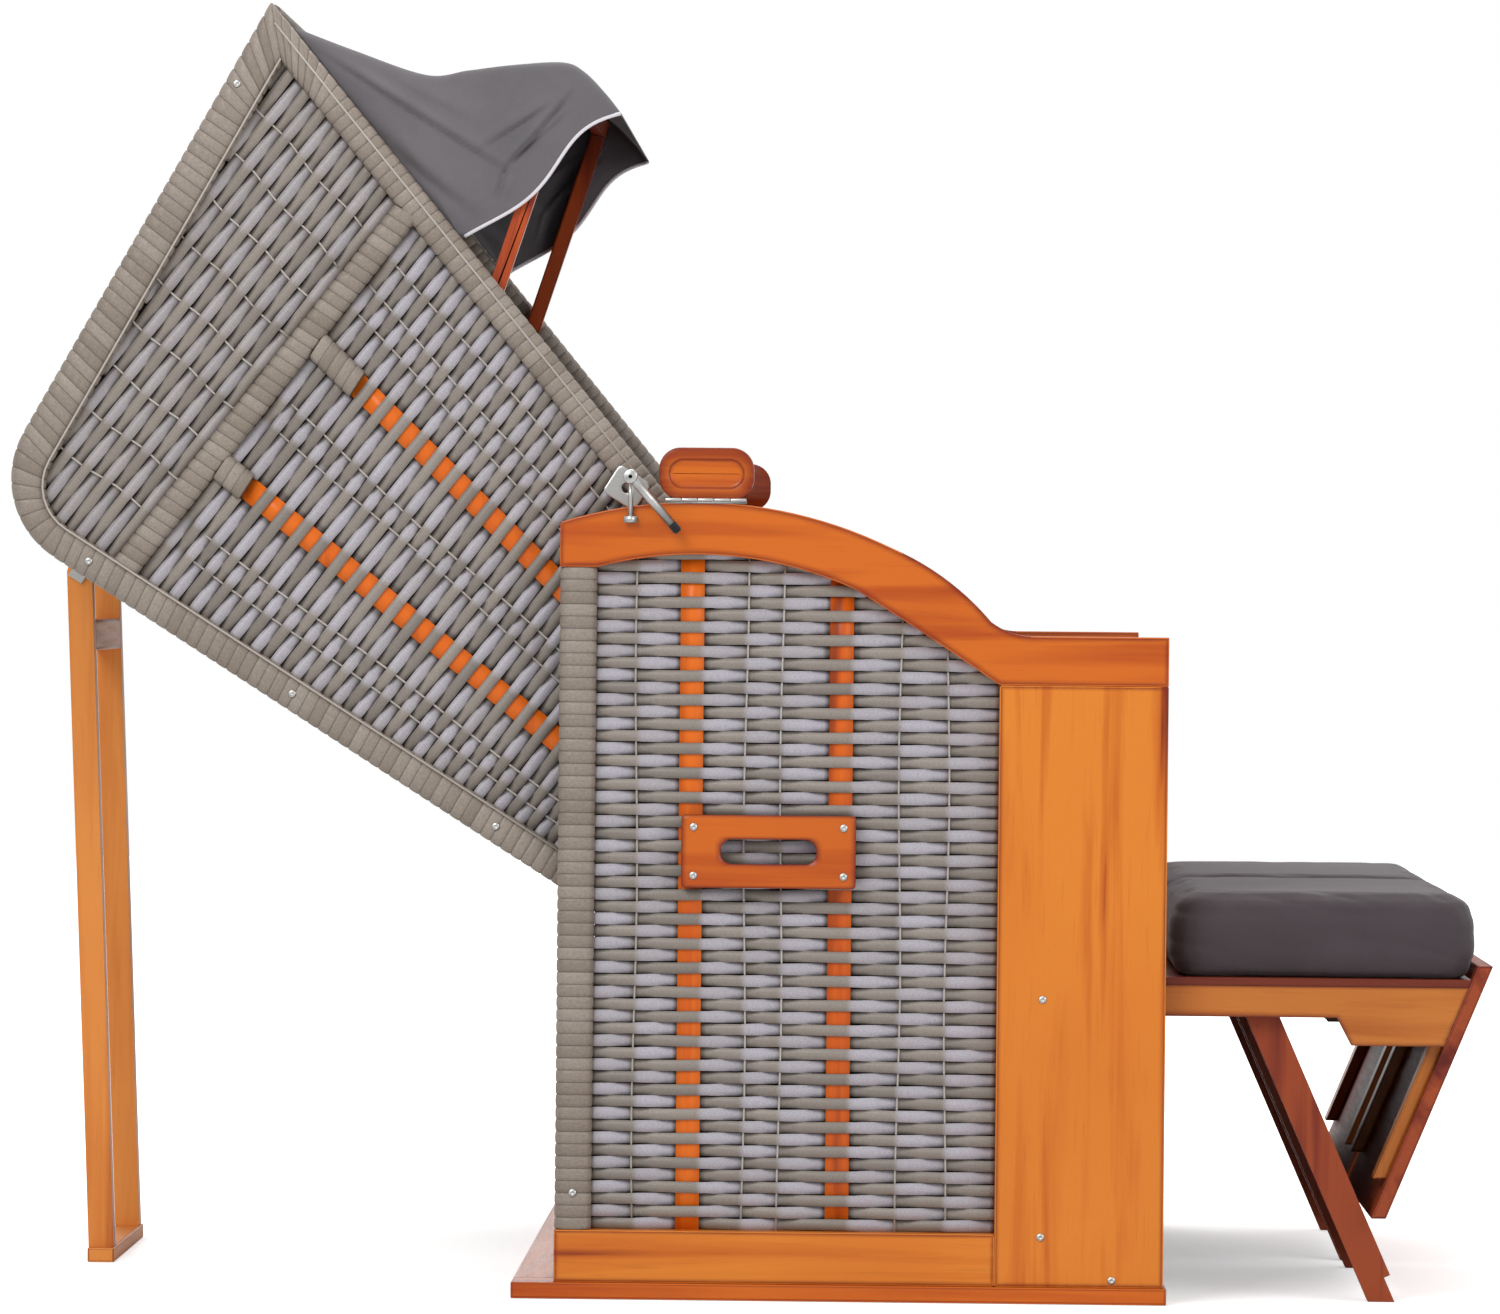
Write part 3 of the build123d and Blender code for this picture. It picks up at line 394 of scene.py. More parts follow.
class Sweep:
    """Gathers many swept strips, stakes and rims into one mesh."""

    def __init__(self):
        self.verts = []
        self.faces = []
        self.uvs = []
        # tone is each strip's random colour; the sheen mark holds a painted sheen and the dark mark painted
        # shade
        self.marks = {mark: [] for mark in ("tone", "under", "dark")}
        self.mats = []

    def tube(self, rings, tone=0.5, under=None, dark=None, mat=0):
        """Joins rings with as many points each into one closed tube."""
        start = len(self.verts)
        count = len(rings[0])
        run = 0.0
        for i, ring in enumerate(rings):
            run += (ring[0] - rings[i - 1][0]).length if i else RNG.uniform(0, UV_SHIFT)
            for k, point in enumerate(ring):
                self.verts.append(point)
                self.uvs.append((run * UV_PER_METRE, k / count))
            self.marks["tone"] += [tone[i] if isinstance(tone, list) else tone] * count
            self.marks["under"] += [under[i] if under else 0.0] * count
            self.marks["dark"] += [dark[i] if dark else 0.0] * count
        for i in range(len(rings) - 1):
            a, b = start + i * count, start + (i + 1) * count
            for k in range(count):
                n = (k + 1) % count
                self.faces.append((a + k, a + n, b + n, b + k))
        end = start + (len(rings) - 1) * count
        self.faces.append(tuple(start + k for k in reversed(range(count))))
        self.faces.append(tuple(end + k for k in range(count)))
        self.mats += [mat] * ((len(rings) - 1) * count + 2)

    def build(self, name, *mats):
        obj = new_object(name, self.verts, self.faces, [MATS[m] for m in mats])
        mesh = obj.data
        mesh.polygons.foreach_set("material_index", self.mats)
        layer = mesh.uv_layers.new(name="UVMap")
        flat = []
        for loop in mesh.loops:
            flat += self.uvs[loop.vertex_index]
        layer.data.foreach_set("uv", flat)
        for mark, values in self.marks.items():
            mesh.attributes.new(mark, "FLOAT", "POINT").data.foreach_set("value", values)
        return obj


# Plaited strips

PITCH = 0.0149
STRIP_HALF = 0.0076
STRIP_OVER_WIDE = 0.0069
STRIP_THICK = 0.0018
SWING = 0.0034
STRIP_STEP = 0.0065
WIDE_HALF = 0.0145
THIN_HALF = 0.0011
THIN_PROUD = 0.0006
MIN_RUN = 0.018
# Points round a strip's section: share of its half width and of its half thickness
STRIP_SECTION = ((-1.0, -1.0), (-0.98, 0.7), (0.0, 1.2), (0.98, 0.7), (1.0, -1.0), (0.0, -0.6))
FALL_WIDE, RISE_WIDE, BAR_NARROW = 0.98, 0.92, 0.04
EASE_STRAIGHT = 0.6
AT_BAR = 0.6
# How far back a strip must swing to get painted shadow, and how dark that painted shadow is
BEHIND, BEHIND_PAINTED_SHADOW = -0.82, 0.9
EDGE_SHADE = 0.006
SHINE_LEAST = 0.7
STRIP_WANDER, STRIP_WAVES = (0.0002, 0.0006), 38
STAKE_THICK = 0.0026
STAKE_WANDER, STAKE_WAVES = 0.0022, 0.9


def swing_at(bars, sides, u):
    """Out-of-plane share of a strip, its slope, nearness to a bar, and whether that bar is wide."""
    for (a, half_a), (b, half_b), side_a, side_b in zip(bars, bars[1:], sides, sides[1:]):
        if u <= b or b == bars[-1][0]:
            span = max((b - half_b) - (a + half_a), 1e-6)
            share = within((u - a - half_a) / span)
            ease = EASE_STRAIGHT * share + (1 - EASE_STRAIGHT) * (0.5 - 0.5 * math.cos(math.pi * share))
            near = abs(math.cos(math.pi * share)) ** 2
            wide = (half_a if share < 0.5 else half_b) > THIN_HALF * 2
            slope = 0.0 if share in (0.0, 1.0) else side_a - side_b
            return side_a + (side_b - side_a) * ease, slope, near, wide
    return 0.0, 0.0, 1.0, False


def strand(sweep, stakes, start, end, place, phase, step=STRIP_STEP, shine=1.0):
    """One strip from start to end, in front of one stake and behind the next.

    place(u, v, h) turns places along the strip, out of the panel and across the strip
    into a point of the chair. stakes holds (number, place, half width) of each stake crossed."""
    crossed = [s for s in stakes if start + s[2] < s[1] < end - s[2]]
    bars = [(start, 0.0)] + [(s[1], s[2]) for s in crossed] + [(end, 0.0)]
    first = crossed[0][0] if crossed else 0
    order = [first - 1] + [s[0] for s in crossed] + [crossed[-1][0] + 1 if crossed else 1]
    sides = [1 if (k + phase) % 2 == 0 else -1 for k in order]
    tone = RNG.random()
    shine *= RNG.uniform(SHINE_LEAST, 1.0)
    shift, wander = RNG.uniform(0, 6), RNG.uniform(*STRIP_WANDER)
    count = max(3, round((end - start) / step))
    rings, under, dark = [], [], []
    for i in range(count + 1):
        u = start + (end - start) * i / count
        side, slope, near, wide = swing_at(bars, sides, u)
        half = STRIP_HALF * (FALL_WIDE if slope > 0 else RISE_WIDE) * (1 - BAR_NARROW * near)
        if wide and near > AT_BAR and side > 0:
            half = STRIP_OVER_WIDE
        lean = wander * math.sin(u * STRIP_WAVES + shift)
        rings.append([place(u, SWING * side + STRIP_THICK / 2 * out, lean + half * across)
                      for across, out in STRIP_SECTION])
        # Painted sheen on the stretch that slopes from in front of a stake to behind the next one
        under.append(within(slope * 0.5) * shine)
        edge = min((u - start), (end - u)) < EDGE_SHADE
        # Painted shadow where the strip lies behind a wide stake, or lies behind at its very ends
        dark.append(BEHIND_PAINTED_SHADOW if side < BEHIND and (wide or edge) else 0.0)
    under = [(under[max(i - 1, 0)] + 4 * v + under[min(i + 1, count)]) / 6 for i, v in enumerate(under)]
    sweep.tube(rings, tone, under=under, dark=dark)


def line_along(points, i):
    """Direction of a line of points at one of them."""
    return (points[min(i + 1, len(points) - 1)] - points[max(i - 1, 0)]).normalized()


def stake(sweep, points, out, wide=False):
    """Flat stake through points, facing out. A thin one wanders a little, and is the second material."""
    rings = []
    half = WIDE_HALF if wide else THIN_HALF
    if not wide:
        shift = RNG.uniform(0, 6)
        points = [p + out * THIN_PROUD for p in points]
        side = (points[-1] - points[0]).cross(out).normalized()
        points = [p + side * STAKE_WANDER * math.sin(i * STAKE_WAVES + shift) for i, p in enumerate(points)]
    for i, point in enumerate(points):
        a, o = line_along(points, i).cross(out).normalized() * half, out * STAKE_THICK / 2
        rings.append([point - a - o, point - a + o, point + a + o, point + a - o])
    sweep.tube(rings, RNG.random(), mat=0 if wide else 1)


# Wrapped rims: a strip wound round a bar shows as narrow rounded bands

WRAP_STEPS = ((0.0, 0.0), (0.09, 0.72), (0.3, 0.95), (0.5, 1.0), (0.7, 0.95), (0.91, 0.72))
WRAP_SECTION = ((0.0, -0.5), (0.10, -0.92), (0.34, -1.0), (0.66, -1.0), (0.90, -0.92), (1.0, -0.5),
                (1.0, 0.5), (0.90, 0.92), (0.66, 1.0), (0.34, 1.0), (0.10, 0.92), (0.0, 0.5))
WRAP_SINK = 0.09
WRAP_NARROW = 0.035
CORD_SIDES, CORD_TONE = 5, 0.9


def wrapped(sweep, stations, place, thick, mat=0):
    """Wound bar between stations, each a pair of (u, w) points on its outer and inner edge, with painted
    shade in the grooves between wraps.
    """
    rings, tones, dark = [], [], []
    for (out_a, in_a), (out_b, in_b) in zip(stations, stations[1:]):
        run = ((Vector(out_b) - Vector(out_a)).length + (Vector(in_b) - Vector(in_a)).length) / 2
        count = max(1, round(run / PITCH))
        for wrap in range(count):
            tone = RNG.random()
            for step, swell in WRAP_STEPS:
                share = (wrap + step) / count
                outer = Vector(out_a).lerp(Vector(out_b), share)
                inner = Vector(in_a).lerp(Vector(in_b), share)
                rings.append(wrap_ring(outer, inner, place, thick, swell))
                tones.append(tone)
                # Painted shade in the groove between two wraps
                dark.append(1.0 if swell == 0.0 else 0.0)
    rings.append(wrap_ring(Vector(stations[-1][0]), Vector(stations[-1][1]), place, thick, 0.0))
    tones.append(0.5)
    dark.append(1.0)
    sweep.tube(rings, tones, dark=dark, mat=mat)


def wrap_ring(outer, inner, place, thick, swell):
    ring = []
    for a, b in WRAP_SECTION:
        across = 0.5 + (a - 0.5) * (1 - 2 * WRAP_NARROW * (1 - swell))
        point = outer.lerp(inner, across)
        ring.append(place(point.x, b * thick / 2 * (1 - WRAP_SINK * (1 - swell)), point.y))
    return ring


def cord_line(sweep, points, radius, mat=0):
    """Thin round line through points, such as the pale braid along a rim."""
    sides = [line_along(points, i).cross(ACROSS).normalized() for i in range(len(points))]
    rings = [ring_around(point, side, ACROSS, radius, CORD_SIDES) for point, side in zip(points, sides)]
    sweep.tube(rings, CORD_TONE, mat=mat)


ROUND_SIDES = 20


def ring_around(centre, axis_a, axis_b, radius, sides=ROUND_SIDES):
    """Points round a centre, in the plane of two axes."""
    return [centre + axis_a * radius * math.cos(a) + axis_b * radius * math.sin(a)
            for a in (k * math.tau / sides for k in range(sides))]


# Lower side walls

POST_FRONT = high("rear_post_near").x
BOARD_REAR = low("front_board_near").x
RAIL_TOP = high("bottom_rail_near").z
WALL_Y = (abs(low("side_weave_near").y) + abs(high("side_weave_near").y)) / 2
STAKE_XS = (-0.253, -0.186, -0.119, -0.075, -0.003, 0.070, 0.128)
WIDE_XS = (-0.186, -0.003)
LINING_Y = 0.5595
LINING_PARTS = 24
WALL_TUCK = 0.003
WALL_STEP = 0.004
TOP_AT = (0.10, 0.15, 0.20)
STAKE_TUCK = 0.004
WALL_STAKE_PARTS = 10
ROW_ABOVE = 1.3


def read_arm_edge():
    """Spans of the armrest's outline, from the outer face of the near one."""
    mesh = frame["nodes"]["armrest_near"].data
    face_y = low("armrest_near").y
    uses = {}
    for poly in mesh.polygons:
        if all(abs(mesh.vertices[v].co.y - face_y) < SAME for v in poly.vertices):
            for ends in poly.edge_keys:
                places = (mesh.vertices[v].co for v in ends)
                span = tuple(sorted((round(p.x, 5), round(p.z, 5)) for p in places))
                uses[span] = uses.get(span, 0) + 1
    return [span for span, times in uses.items() if times == 1 and span[1][0] - span[0][0] > SAME / 10]


ARM_SPANS = read_arm_edge()


def arm_low_edge(x):
    """Height of the armrest's lower edge."""
    heights = [a[1] + (b[1] - a[1]) * (x - a[0]) / (b[0] - a[0])
               for a, b in ARM_SPANS if a[0] <= x <= b[0]]
    return min(heights) if heights else RAIL_TOP


def side_wall(side, sign):
    """Plaited panel below the armrest, its stakes and the lining behind."""
    sweep, accents = Sweep(), Sweep()
    stakes = [(k, x, WIDE_HALF if x in WIDE_XS else THIN_HALF) for k, x in enumerate(STAKE_XS)]
    start, end = POST_FRONT - WALL_TUCK, BOARD_REAR + WALL_TUCK
    top = max(arm_low_edge(start + x) for x in TOP_AT)
    places = [start + i * WALL_STEP for i in range(int((end - start) / WALL_STEP) + 1)]
    row = 0
    w = RAIL_TOP + PITCH / 2
    while w < top + PITCH:
        inside = [x for x in places
                  if arm_low_edge(within(x, POST_FRONT, BOARD_REAR)) > w - STRIP_HALF * ROW_ABOVE]
        if len(inside) * WALL_STEP > MIN_RUN:
            def place(u, v, h, w=w):
                return Vector((u, sign * (WALL_Y + v), w + h))
            strand(sweep, stakes, inside[0], inside[-1], place, row)
        row += 1
        w += PITCH
    foot = RAIL_TOP - STAKE_TUCK
    for x in STAKE_XS:
        rise = arm_low_edge(x) + STAKE_TUCK - foot
        points = [Vector((x, sign * WALL_Y, foot + rise * i / WALL_STAKE_PARTS))
                  for i in range(WALL_STAKE_PARTS + 1)]
        wide = x in WIDE_XS
        stake(accents if wide else sweep, points, Vector((0, sign, 0)), wide)
    settle(sweep.build("side_plait_" + side, "strip", "stake"), "basket", "weave", "side_weave_" + side)
    settle(accents.build("side_accents_" + side, "accent_Z"), "basket", "accent", "side_stakes")

    xs = [POST_FRONT + (BOARD_REAR - POST_FRONT) * i / LINING_PARTS for i in range(LINING_PARTS + 1)]
    lining("side_lining_" + side, "basket",
           [[Vector((x, sign * LINING_Y, z)) for z in (arm_low_edge(x), RAIL_TOP)] for x in xs])


def lining(name, body, pairs):
    """Flat dark cloth behind the plaiting, through pairs of points."""
    verts = [point for pair in pairs for point in pair]
    faces = [(2 * i, 2 * i + 1, 2 * i + 3, 2 * i + 2) for i in range(len(pairs) - 1)]
    settle(new_object(name, verts, faces, [MATS["lining"]]), body, "weave")


def rear_posts():
    (x0, y0, z0), (x1, y1, z1) = box("rear_post_near")
    for side, sign in SIDES:
        sweep = Sweep()

        def place(u, v, w):
            return Vector((u, -sign * (y0 + y1) / 2 + v, w))
        wrapped(sweep, [((x0, z), (x1, z)) for z in (z0, z1)], place, y1 - y0)
        settle(sweep.build("post_wrap_" + side, "wrap"), "basket", "weave", "rear_post_" + side)


# Hood, drawn upright in (u, w) from its pivot and laid back with the hood

PIVOT = Vector(next(j for j in frame["joints"] if j["name"] == "hood_recline")["pos_m"])
RECLINE = math.radians(57.5)
HOOD_TURN = Matrix.Translation(PIVOT) @ Matrix.Rotation(-RECLINE, 4, "Y")
BACK_U = -0.075
FRONT_U = 0.333
FRONT_RISE = math.tan(math.radians(18.2))
ROOF_FRONT_W = 0.945
CORNER_W = 0.907
LOW_W = -0.080
HEEL_U = 0.060
ROOF_RIM, BACK_RIM, FRONT_RIM = 0.049, 0.040, 0.037
CORNER_OUT, CORNER_IN = 0.115, 0.060
CORNER_ARC = math.radians(87)
CORNER_PARTS = 8
CORNER_FAN = 0.15
TIP_DROP = 0.003
BAR_HALF = 0.017
BAR_FRONT_W, BAR_BACK_W = 0.662, 0.721
BAR_SPAN = 0.6257
HOOD_Y = (abs(low("hood_frame_near").y) + abs(high("hood_frame_near").y)) / 2
HOOD_THICK = abs(low("hood_frame_near").y - high("hood_frame_near").y)
ACCENT_SHARES = (0.325, 0.63)
ACCENT_TOPS = (0.645, 0.600)
ACCENT_TUCK = 0.004
LOW_STAKE_SHARES = (0.145, 0.20, 0.325, 0.452, 0.505, 0.63, 0.73, 0.786, 0.86)
TOP_STAKE_SHARES = (0.170, 0.256, 0.341, 0.427, 0.513, 0.599, 0.685, 0.770, 0.856)
LOW_STAKE_ENDS, TOP_STAKE_ENDS = (-0.03, 0.655), (0.70, 0.895)
HOOD_STAKE_PARTS = 12
SOCKET_HALF = 0.018
# Strength of the painted sheen on the hood's sides below and above the inner bar
HOOD_SHINE, ROOF_SHINE = 0.85, 0.55
HOOD_STEP = 0.003
HOOD_ROWS = 70
ROW_TRIES = 3
ROWS_ABOVE = 0.1
WINDOW_SPARE = 0.004
FRONT_SPARE = 1.05
LINING_IN = 0.5225
LINING_SHARE = 0.3
ROW_SLOPE = (BAR_FRONT_W - BAR_BACK_W) / BAR_SPAN
ROW_TURN = math.atan(ROW_SLOPE)
RIM_TUCK, SOCKET_TUCK = 0.004, 0.002
BAR_THICK, SOCKET_THICK = 0.94, 0.90
BRAID_SHARES, BRAID_RADIUS, BRAID_PROUD = (0.06, 0.36), 0.0014, 0.0004


def front_u(w):
    return FRONT_U + w * FRONT_RISE


def roof_w(u):
    return CORNER_W + (ROOF_FRONT_W - CORNER_W) * (u - BACK_U) / (front_u(ROOF_FRONT_W) - BACK_U)


def bar_w(u):
    return row_w(u, BAR_BACK_W)


def share_u(share, w):
    return BACK_U + share * (front_u(w) - BACK_U)


def hood_point(u, y, w):
    return HOOD_TURN @ Vector((u, y, w))


def row_w(u, w0):
    """Height at u of a row that starts at height w0 on the back edge."""
    return w0 + ROW_SLOPE * (u - BACK_U)


def in_window(u, w):
    """Whether a place lies in the woven part of the hood's side."""
    corner_u = BACK_U + BACK_RIM + CORNER_IN
    corner_w = roof_w(corner_u) - ROOF_RIM - CORNER_IN
    if u < corner_u and w > corner_w and math.hypot(u - corner_u, w - corner_w) > CORNER_IN + WINDOW_SPARE:
        return False
    if u < BACK_U + BACK_RIM - WINDOW_SPARE or u > front_u(w) - FRONT_RIM * FRONT_SPARE + WINDOW_SPARE:
        return False
    low_w = LOW_W * (1 - max(u - HEEL_U, 0.0) / (FRONT_U - HEEL_U))
    if w > roof_w(u) - ROOF_RIM + WINDOW_SPARE or w < low_w + BACK_RIM - WINDOW_SPARE:
        return False
    if abs(w - bar_w(u)) < BAR_HALF - WINDOW_SPARE:
        return False
    return not any(abs(u - share_u(share, w)) < SOCKET_HALF - WINDOW_SPARE and top < w < bar_w(u)
                   for share, top in zip(ACCENT_SHARES, ACCENT_TOPS))


def runs_on_row(w0):
    """Stretches of a row that lie in the woven part, long enough for a strip."""
    runs, current = [], []
    u = BACK_U
    while u < front_u(ROOF_FRONT_W):
        if in_window(u, row_w(u, w0)):
            current.append(u)
        elif current:
            runs.append(current)
            current = []
        u += HOOD_STEP
    return [(run[0], run[-1]) for run in runs + [current] if len(run) * HOOD_STEP > MIN_RUN]


def stakes_on_row(shares, w0):
    """Number, place and half width of each stake that crosses a row."""
    out = []
    for k, share in enumerate(shares):
        w = w0
        for _ in range(ROW_TRIES):
            u = share_u(share, w)
            w = row_w(u, w0)
        out.append((k, u, WIDE_HALF if share in ACCENT_SHARES else THIN_HALF))
    return out


def hood_side(side, sign):
    """Plaiting below and above the inner bar, its stakes, the rims and the lining behind."""
    sweep, accents = Sweep(), Sweep()
    cos_t, sin_t = math.cos(ROW_TURN), math.sin(ROW_TURN)
    for shares, way, shine in ((LOW_STAKE_SHARES, -1, HOOD_SHINE), (TOP_STAKE_SHARES, 1, ROOF_SHINE)):
        for row in range(HOOD_ROWS):
            w0 = BAR_BACK_W + way * (BAR_HALF + PITCH / 2 + row * PITCH)
            if w0 < LOW_W or w0 > ROOF_FRONT_W + ROWS_ABOVE:
                break

            def place(u, v, h, w0=w0):
                return hood_point(u - h * sin_t, sign * (HOOD_Y + v), row_w(u, w0) + h * cos_t)
            for start, end in runs_on_row(w0):
                strand(sweep, stakes_on_row(shares, w0), start, end, place, row, shine=shine)
    for shares, (foot, head) in ((LOW_STAKE_SHARES, LOW_STAKE_ENDS), (TOP_STAKE_SHARES, TOP_STAKE_ENDS)):
        for share in shares:
            accent = shares is LOW_STAKE_SHARES and share in ACCENT_SHARES
            rise = (ACCENT_TOPS[ACCENT_SHARES.index(share)] + ACCENT_TUCK if accent else head) - foot
            points = [hood_point(share_u(share, w), sign * HOOD_Y, w)
                      for w in (foot + rise * i / HOOD_STAKE_PARTS for i in range(HOOD_STAKE_PARTS + 1))]
            stake(accents if accent else sweep, points, Vector((0, sign, 0)), accent)
    settle(sweep.build("hood_plait_" + side, "strip", "stake"), "hood", "weave", "hood_weave_" + side)
    settle(accents.build("hood_accents_" + side, "accent_Z"), "hood", "accent", "hood_stakes")
    hood_rims(side, sign)
    middle = [Vector(inner).lerp(Vector(outer), LINING_SHARE) for outer, inner in rim_stations()]
    ring = [hood_point(p.x, sign * LINING_IN, p.y) for p in middle]
    flat = new_object("hood_lining_" + side, ring, [tuple(range(len(ring)))], [MATS["lining"]], False)
    settle(flat, "hood", "weave")


def rim_stations():
    """Pairs of outer and inner points round the hood's side, from the back's foot to the front's."""
    stations = [((BACK_U, LOW_W), (BACK_U + BACK_RIM, LOW_W))]
    out_u = BACK_U + CORNER_OUT
    out_w = roof_w(out_u) - CORNER_OUT
    in_u = BACK_U + BACK_RIM + CORNER_IN
    in_w = roof_w(in_u) - ROOF_RIM - CORNER_IN
    for k in range(CORNER_PARTS + 1):
        turn = math.pi - CORNER_ARC * k / CORNER_PARTS
        stations.append(((out_u + CORNER_OUT * math.cos(turn), out_w + CORNER_OUT * math.sin(turn)),
                         (in_u + CORNER_IN * math.cos(turn), in_w + CORNER_IN * math.sin(turn))))
    tip_u = front_u(ROOF_FRONT_W)
    near_tip = roof_w(tip_u - CORNER_FAN)
    stations.append(((tip_u - CORNER_FAN, near_tip), (tip_u - CORNER_FAN, near_tip - ROOF_RIM)))
    lean = math.atan(FRONT_RISE)
    inner_w = ROOF_FRONT_W - ROOF_RIM - TIP_DROP
    stations.append(((tip_u, ROOF_FRONT_W), (front_u(inner_w) - FRONT_RIM / math.cos(lean), inner_w)))
    for w in (ROOF_FRONT_W - CORNER_FAN * math.cos(lean), 0.0):
        stations.append(((front_u(w), w),
                         (front_u(w) - FRONT_RIM * math.cos(lean), w + FRONT_RIM * math.sin(lean))))
    return stations


def hood_rims(side, sign):
    """Wrapped edges of the hood's side, its inner bar, the accents' sockets and a pale braid."""
    sweep = Sweep()

    def place(u, v, w):
        return hood_point(u, sign * (HOOD_Y + v), w)
    stations = rim_stations()
    wrapped(sweep, stations, place, HOOD_THICK)
    wrapped(sweep, [((front_u(0.0), 0.0), (front_u(BACK_RIM) - FRONT_RIM, BACK_RIM)),
                    ((HEEL_U, LOW_W), (HEEL_U, LOW_W + BACK_RIM)),
                    ((BACK_U, LOW_W), (BACK_U, LOW_W + BACK_RIM))], place, HOOD_THICK)
    bar_ends = (BACK_U + BACK_RIM - RIM_TUCK, front_u(BAR_FRONT_W) - FRONT_RIM + RIM_TUCK)
    wrapped(sweep, [((u, bar_w(u) + BAR_HALF), (u, bar_w(u) - BAR_HALF)) for u in bar_ends],
            place, HOOD_THICK * BAR_THICK)
    for share, foot in zip(ACCENT_SHARES, ACCENT_TOPS):
        head = bar_w(share_u(share, BAR_BACK_W)) - BAR_HALF + SOCKET_TUCK
        wrapped(sweep, [((share_u(share, w) - SOCKET_HALF, w), (share_u(share, w) + SOCKET_HALF, w))
                        for w in (foot, head)], place, HOOD_THICK * SOCKET_THICK)
    inner, third = BRAID_SHARES
    for line in ([Vector(b).lerp(Vector(a), inner) for a, b in stations[:-2]],
                 [Vector(a).lerp(Vector(b), third) for a, b in stations[-3:]]):
        points = [place(p.x, HOOD_THICK / 2 + BRAID_PROUD, p.y) for p in line]
        cord_line(sweep, points, BRAID_RADIUS, mat=1)
    settle(sweep.build("hood_rims_" + side, "wrap", "stake"), "hood", "weave", "hood_frame_" + side)


# Roof and back: rows that run across the chair between the two sides

SHELL_IN = 0.0070
SHELL_STAKE_GAP = 0.060
SHELL_STEP = 0.012
LINING_DROP = 0.007
EDGE_DEEP, EDGE_THICK = 0.016, 0.013
PANEL_TUCK, PANEL_LINING = 0.01, 0.008


def shell_path(part):
    """Places and outward directions along the hood's back or roof, one for each row."""
    out_u = BACK_U + CORNER_OUT
    out_w = roof_w(out_u) - CORNER_OUT
    if part == "back":
        rows = round((out_w - LOW_W) / PITCH)
        return [(Vector((BACK_U + SHELL_IN, LOW_W + (out_w - LOW_W) * (k + 0.5) / rows)), Vector((-1, 0)))
                for k in range(rows)]
    path = []
    radius = CORNER_OUT - SHELL_IN
    rows = round(CORNER_ARC * radius / PITCH)
    for k in range(rows):
        turn = math.pi - CORNER_ARC * (k + 0.5) / rows
        out = Vector((math.cos(turn), math.sin(turn)))
        path.append((Vector((out_u, out_w)) + out * radius, out))
    tip_u = front_u(ROOF_FRONT_W) - SHELL_IN
    rows = round((tip_u - out_u) / PITCH)
    for k in range(rows):
        u = out_u + (tip_u - out_u) * (k + 0.5) / rows
        path.append((Vector((u, roof_w(u) - SHELL_IN)), Vector((0, 1))))
    return path


def across_stakes(half):
    """Stakes at even distances across the chair."""
    count = round(2 * half / SHELL_STAKE_GAP)
    return [(k, -half + 2 * half * (k + 0.5) / count, THIN_HALF) for k in range(count)]


def hood_shell(part, node):
    """The hood's plaited back or roof, with its wound edge and its lining."""
    sweep = Sweep()
    path = shell_path(part)
    roof = part == "roof"
    before = len(shell_path("back")) if roof else 0
    half = low("hood_frame_far").y
    stakes = across_stakes(half)
    for row, (centre, out) in enumerate(path):
        along = Vector((out.y, -out.x))

        def place(u, v, h, centre=centre, out=out, along=along):
            point = centre + out * v + along * h
            return hood_point(point.x, u, point.y)
        strand(sweep, stakes, -half, half, place, row + before, SHELL_STEP)
    for _, y, _ in stakes:
        stake(sweep, [hood_point(c.x, y, c.y) for c, _ in path], HOOD_TURN.to_3x3() @ xz(path[0][1]))
    end = Vector((front_u(ROOF_FRONT_W), ROOF_FRONT_W - SHELL_IN) if roof else (BACK_U + SHELL_IN, LOW_W))

    def edge(u, v, w):
        point = end + Vector((-w, v) if roof else (v, w))
        return hood_point(point.x, u, point.y)
    wrapped(sweep, [((y, 0.0), (y, EDGE_DEEP)) for y in (-half, half)], edge, EDGE_THICK, mat=2)
    settle(sweep.build(node + "_plait", "strip", "stake", "wrap"), "hood", "weave", node)
    if roof:
        (first, out), (last, last_out) = path[0], path[-1]
        path = ([(first - Vector((out.y, -out.x)) * PITCH, out)] + path
                + [(last + Vector((1, 0)) * PITCH / 3, last_out)])
    inside = [centre - out * LINING_DROP for centre, out in path]
    lining(node + "_lining", "hood", [[hood_point(p.x, y, p.y) for y in (-half, half)] for p in inside])


def rear_wall():
    """Woven panel low at the back of the basket."""
    sweep = Sweep()
    a, b = box("rear_panel")
    x = (a.x + b.x) / 2
    rows = round((b.z - a.z - 2 * PITCH) / PITCH)
    stakes = across_stakes(b.y)
    for row in range(rows):
        def place(u, v, h, z=a.z + PITCH * (row + 1)):
            return Vector((x - v, u, z + h))
        strand(sweep, stakes, a.y, b.y, place, row, SHELL_STEP)
    for _, y, _ in stakes:
        stake(sweep, [Vector((x, y, z)) for z in (a.z + PANEL_TUCK, b.z - PANEL_TUCK)], Vector((-1, 0, 0)))

    def across(u, v, w):
        return Vector((x + v, u, w))
    for top in (a.z + PITCH, b.z):
        wrapped(sweep, [((y, top), (y, top - PITCH)) for y in (a.y, b.y)], across, b.x - a.x, mat=2)
    settle(sweep.build("rear_panel_plait", "strip", "stake", "wrap"), "basket", "weave", "rear_panel")
    lining("rear_panel_lining", "basket",
           [[Vector((x + PANEL_LINING, y, z)) for z in (b.z, a.z)] for y in (a.y, b.y)])


BOLT_PROFILE = ((0.516, 0.007), (0.5175, 0.008), (0.566, 0.008), (0.568, 0.007))


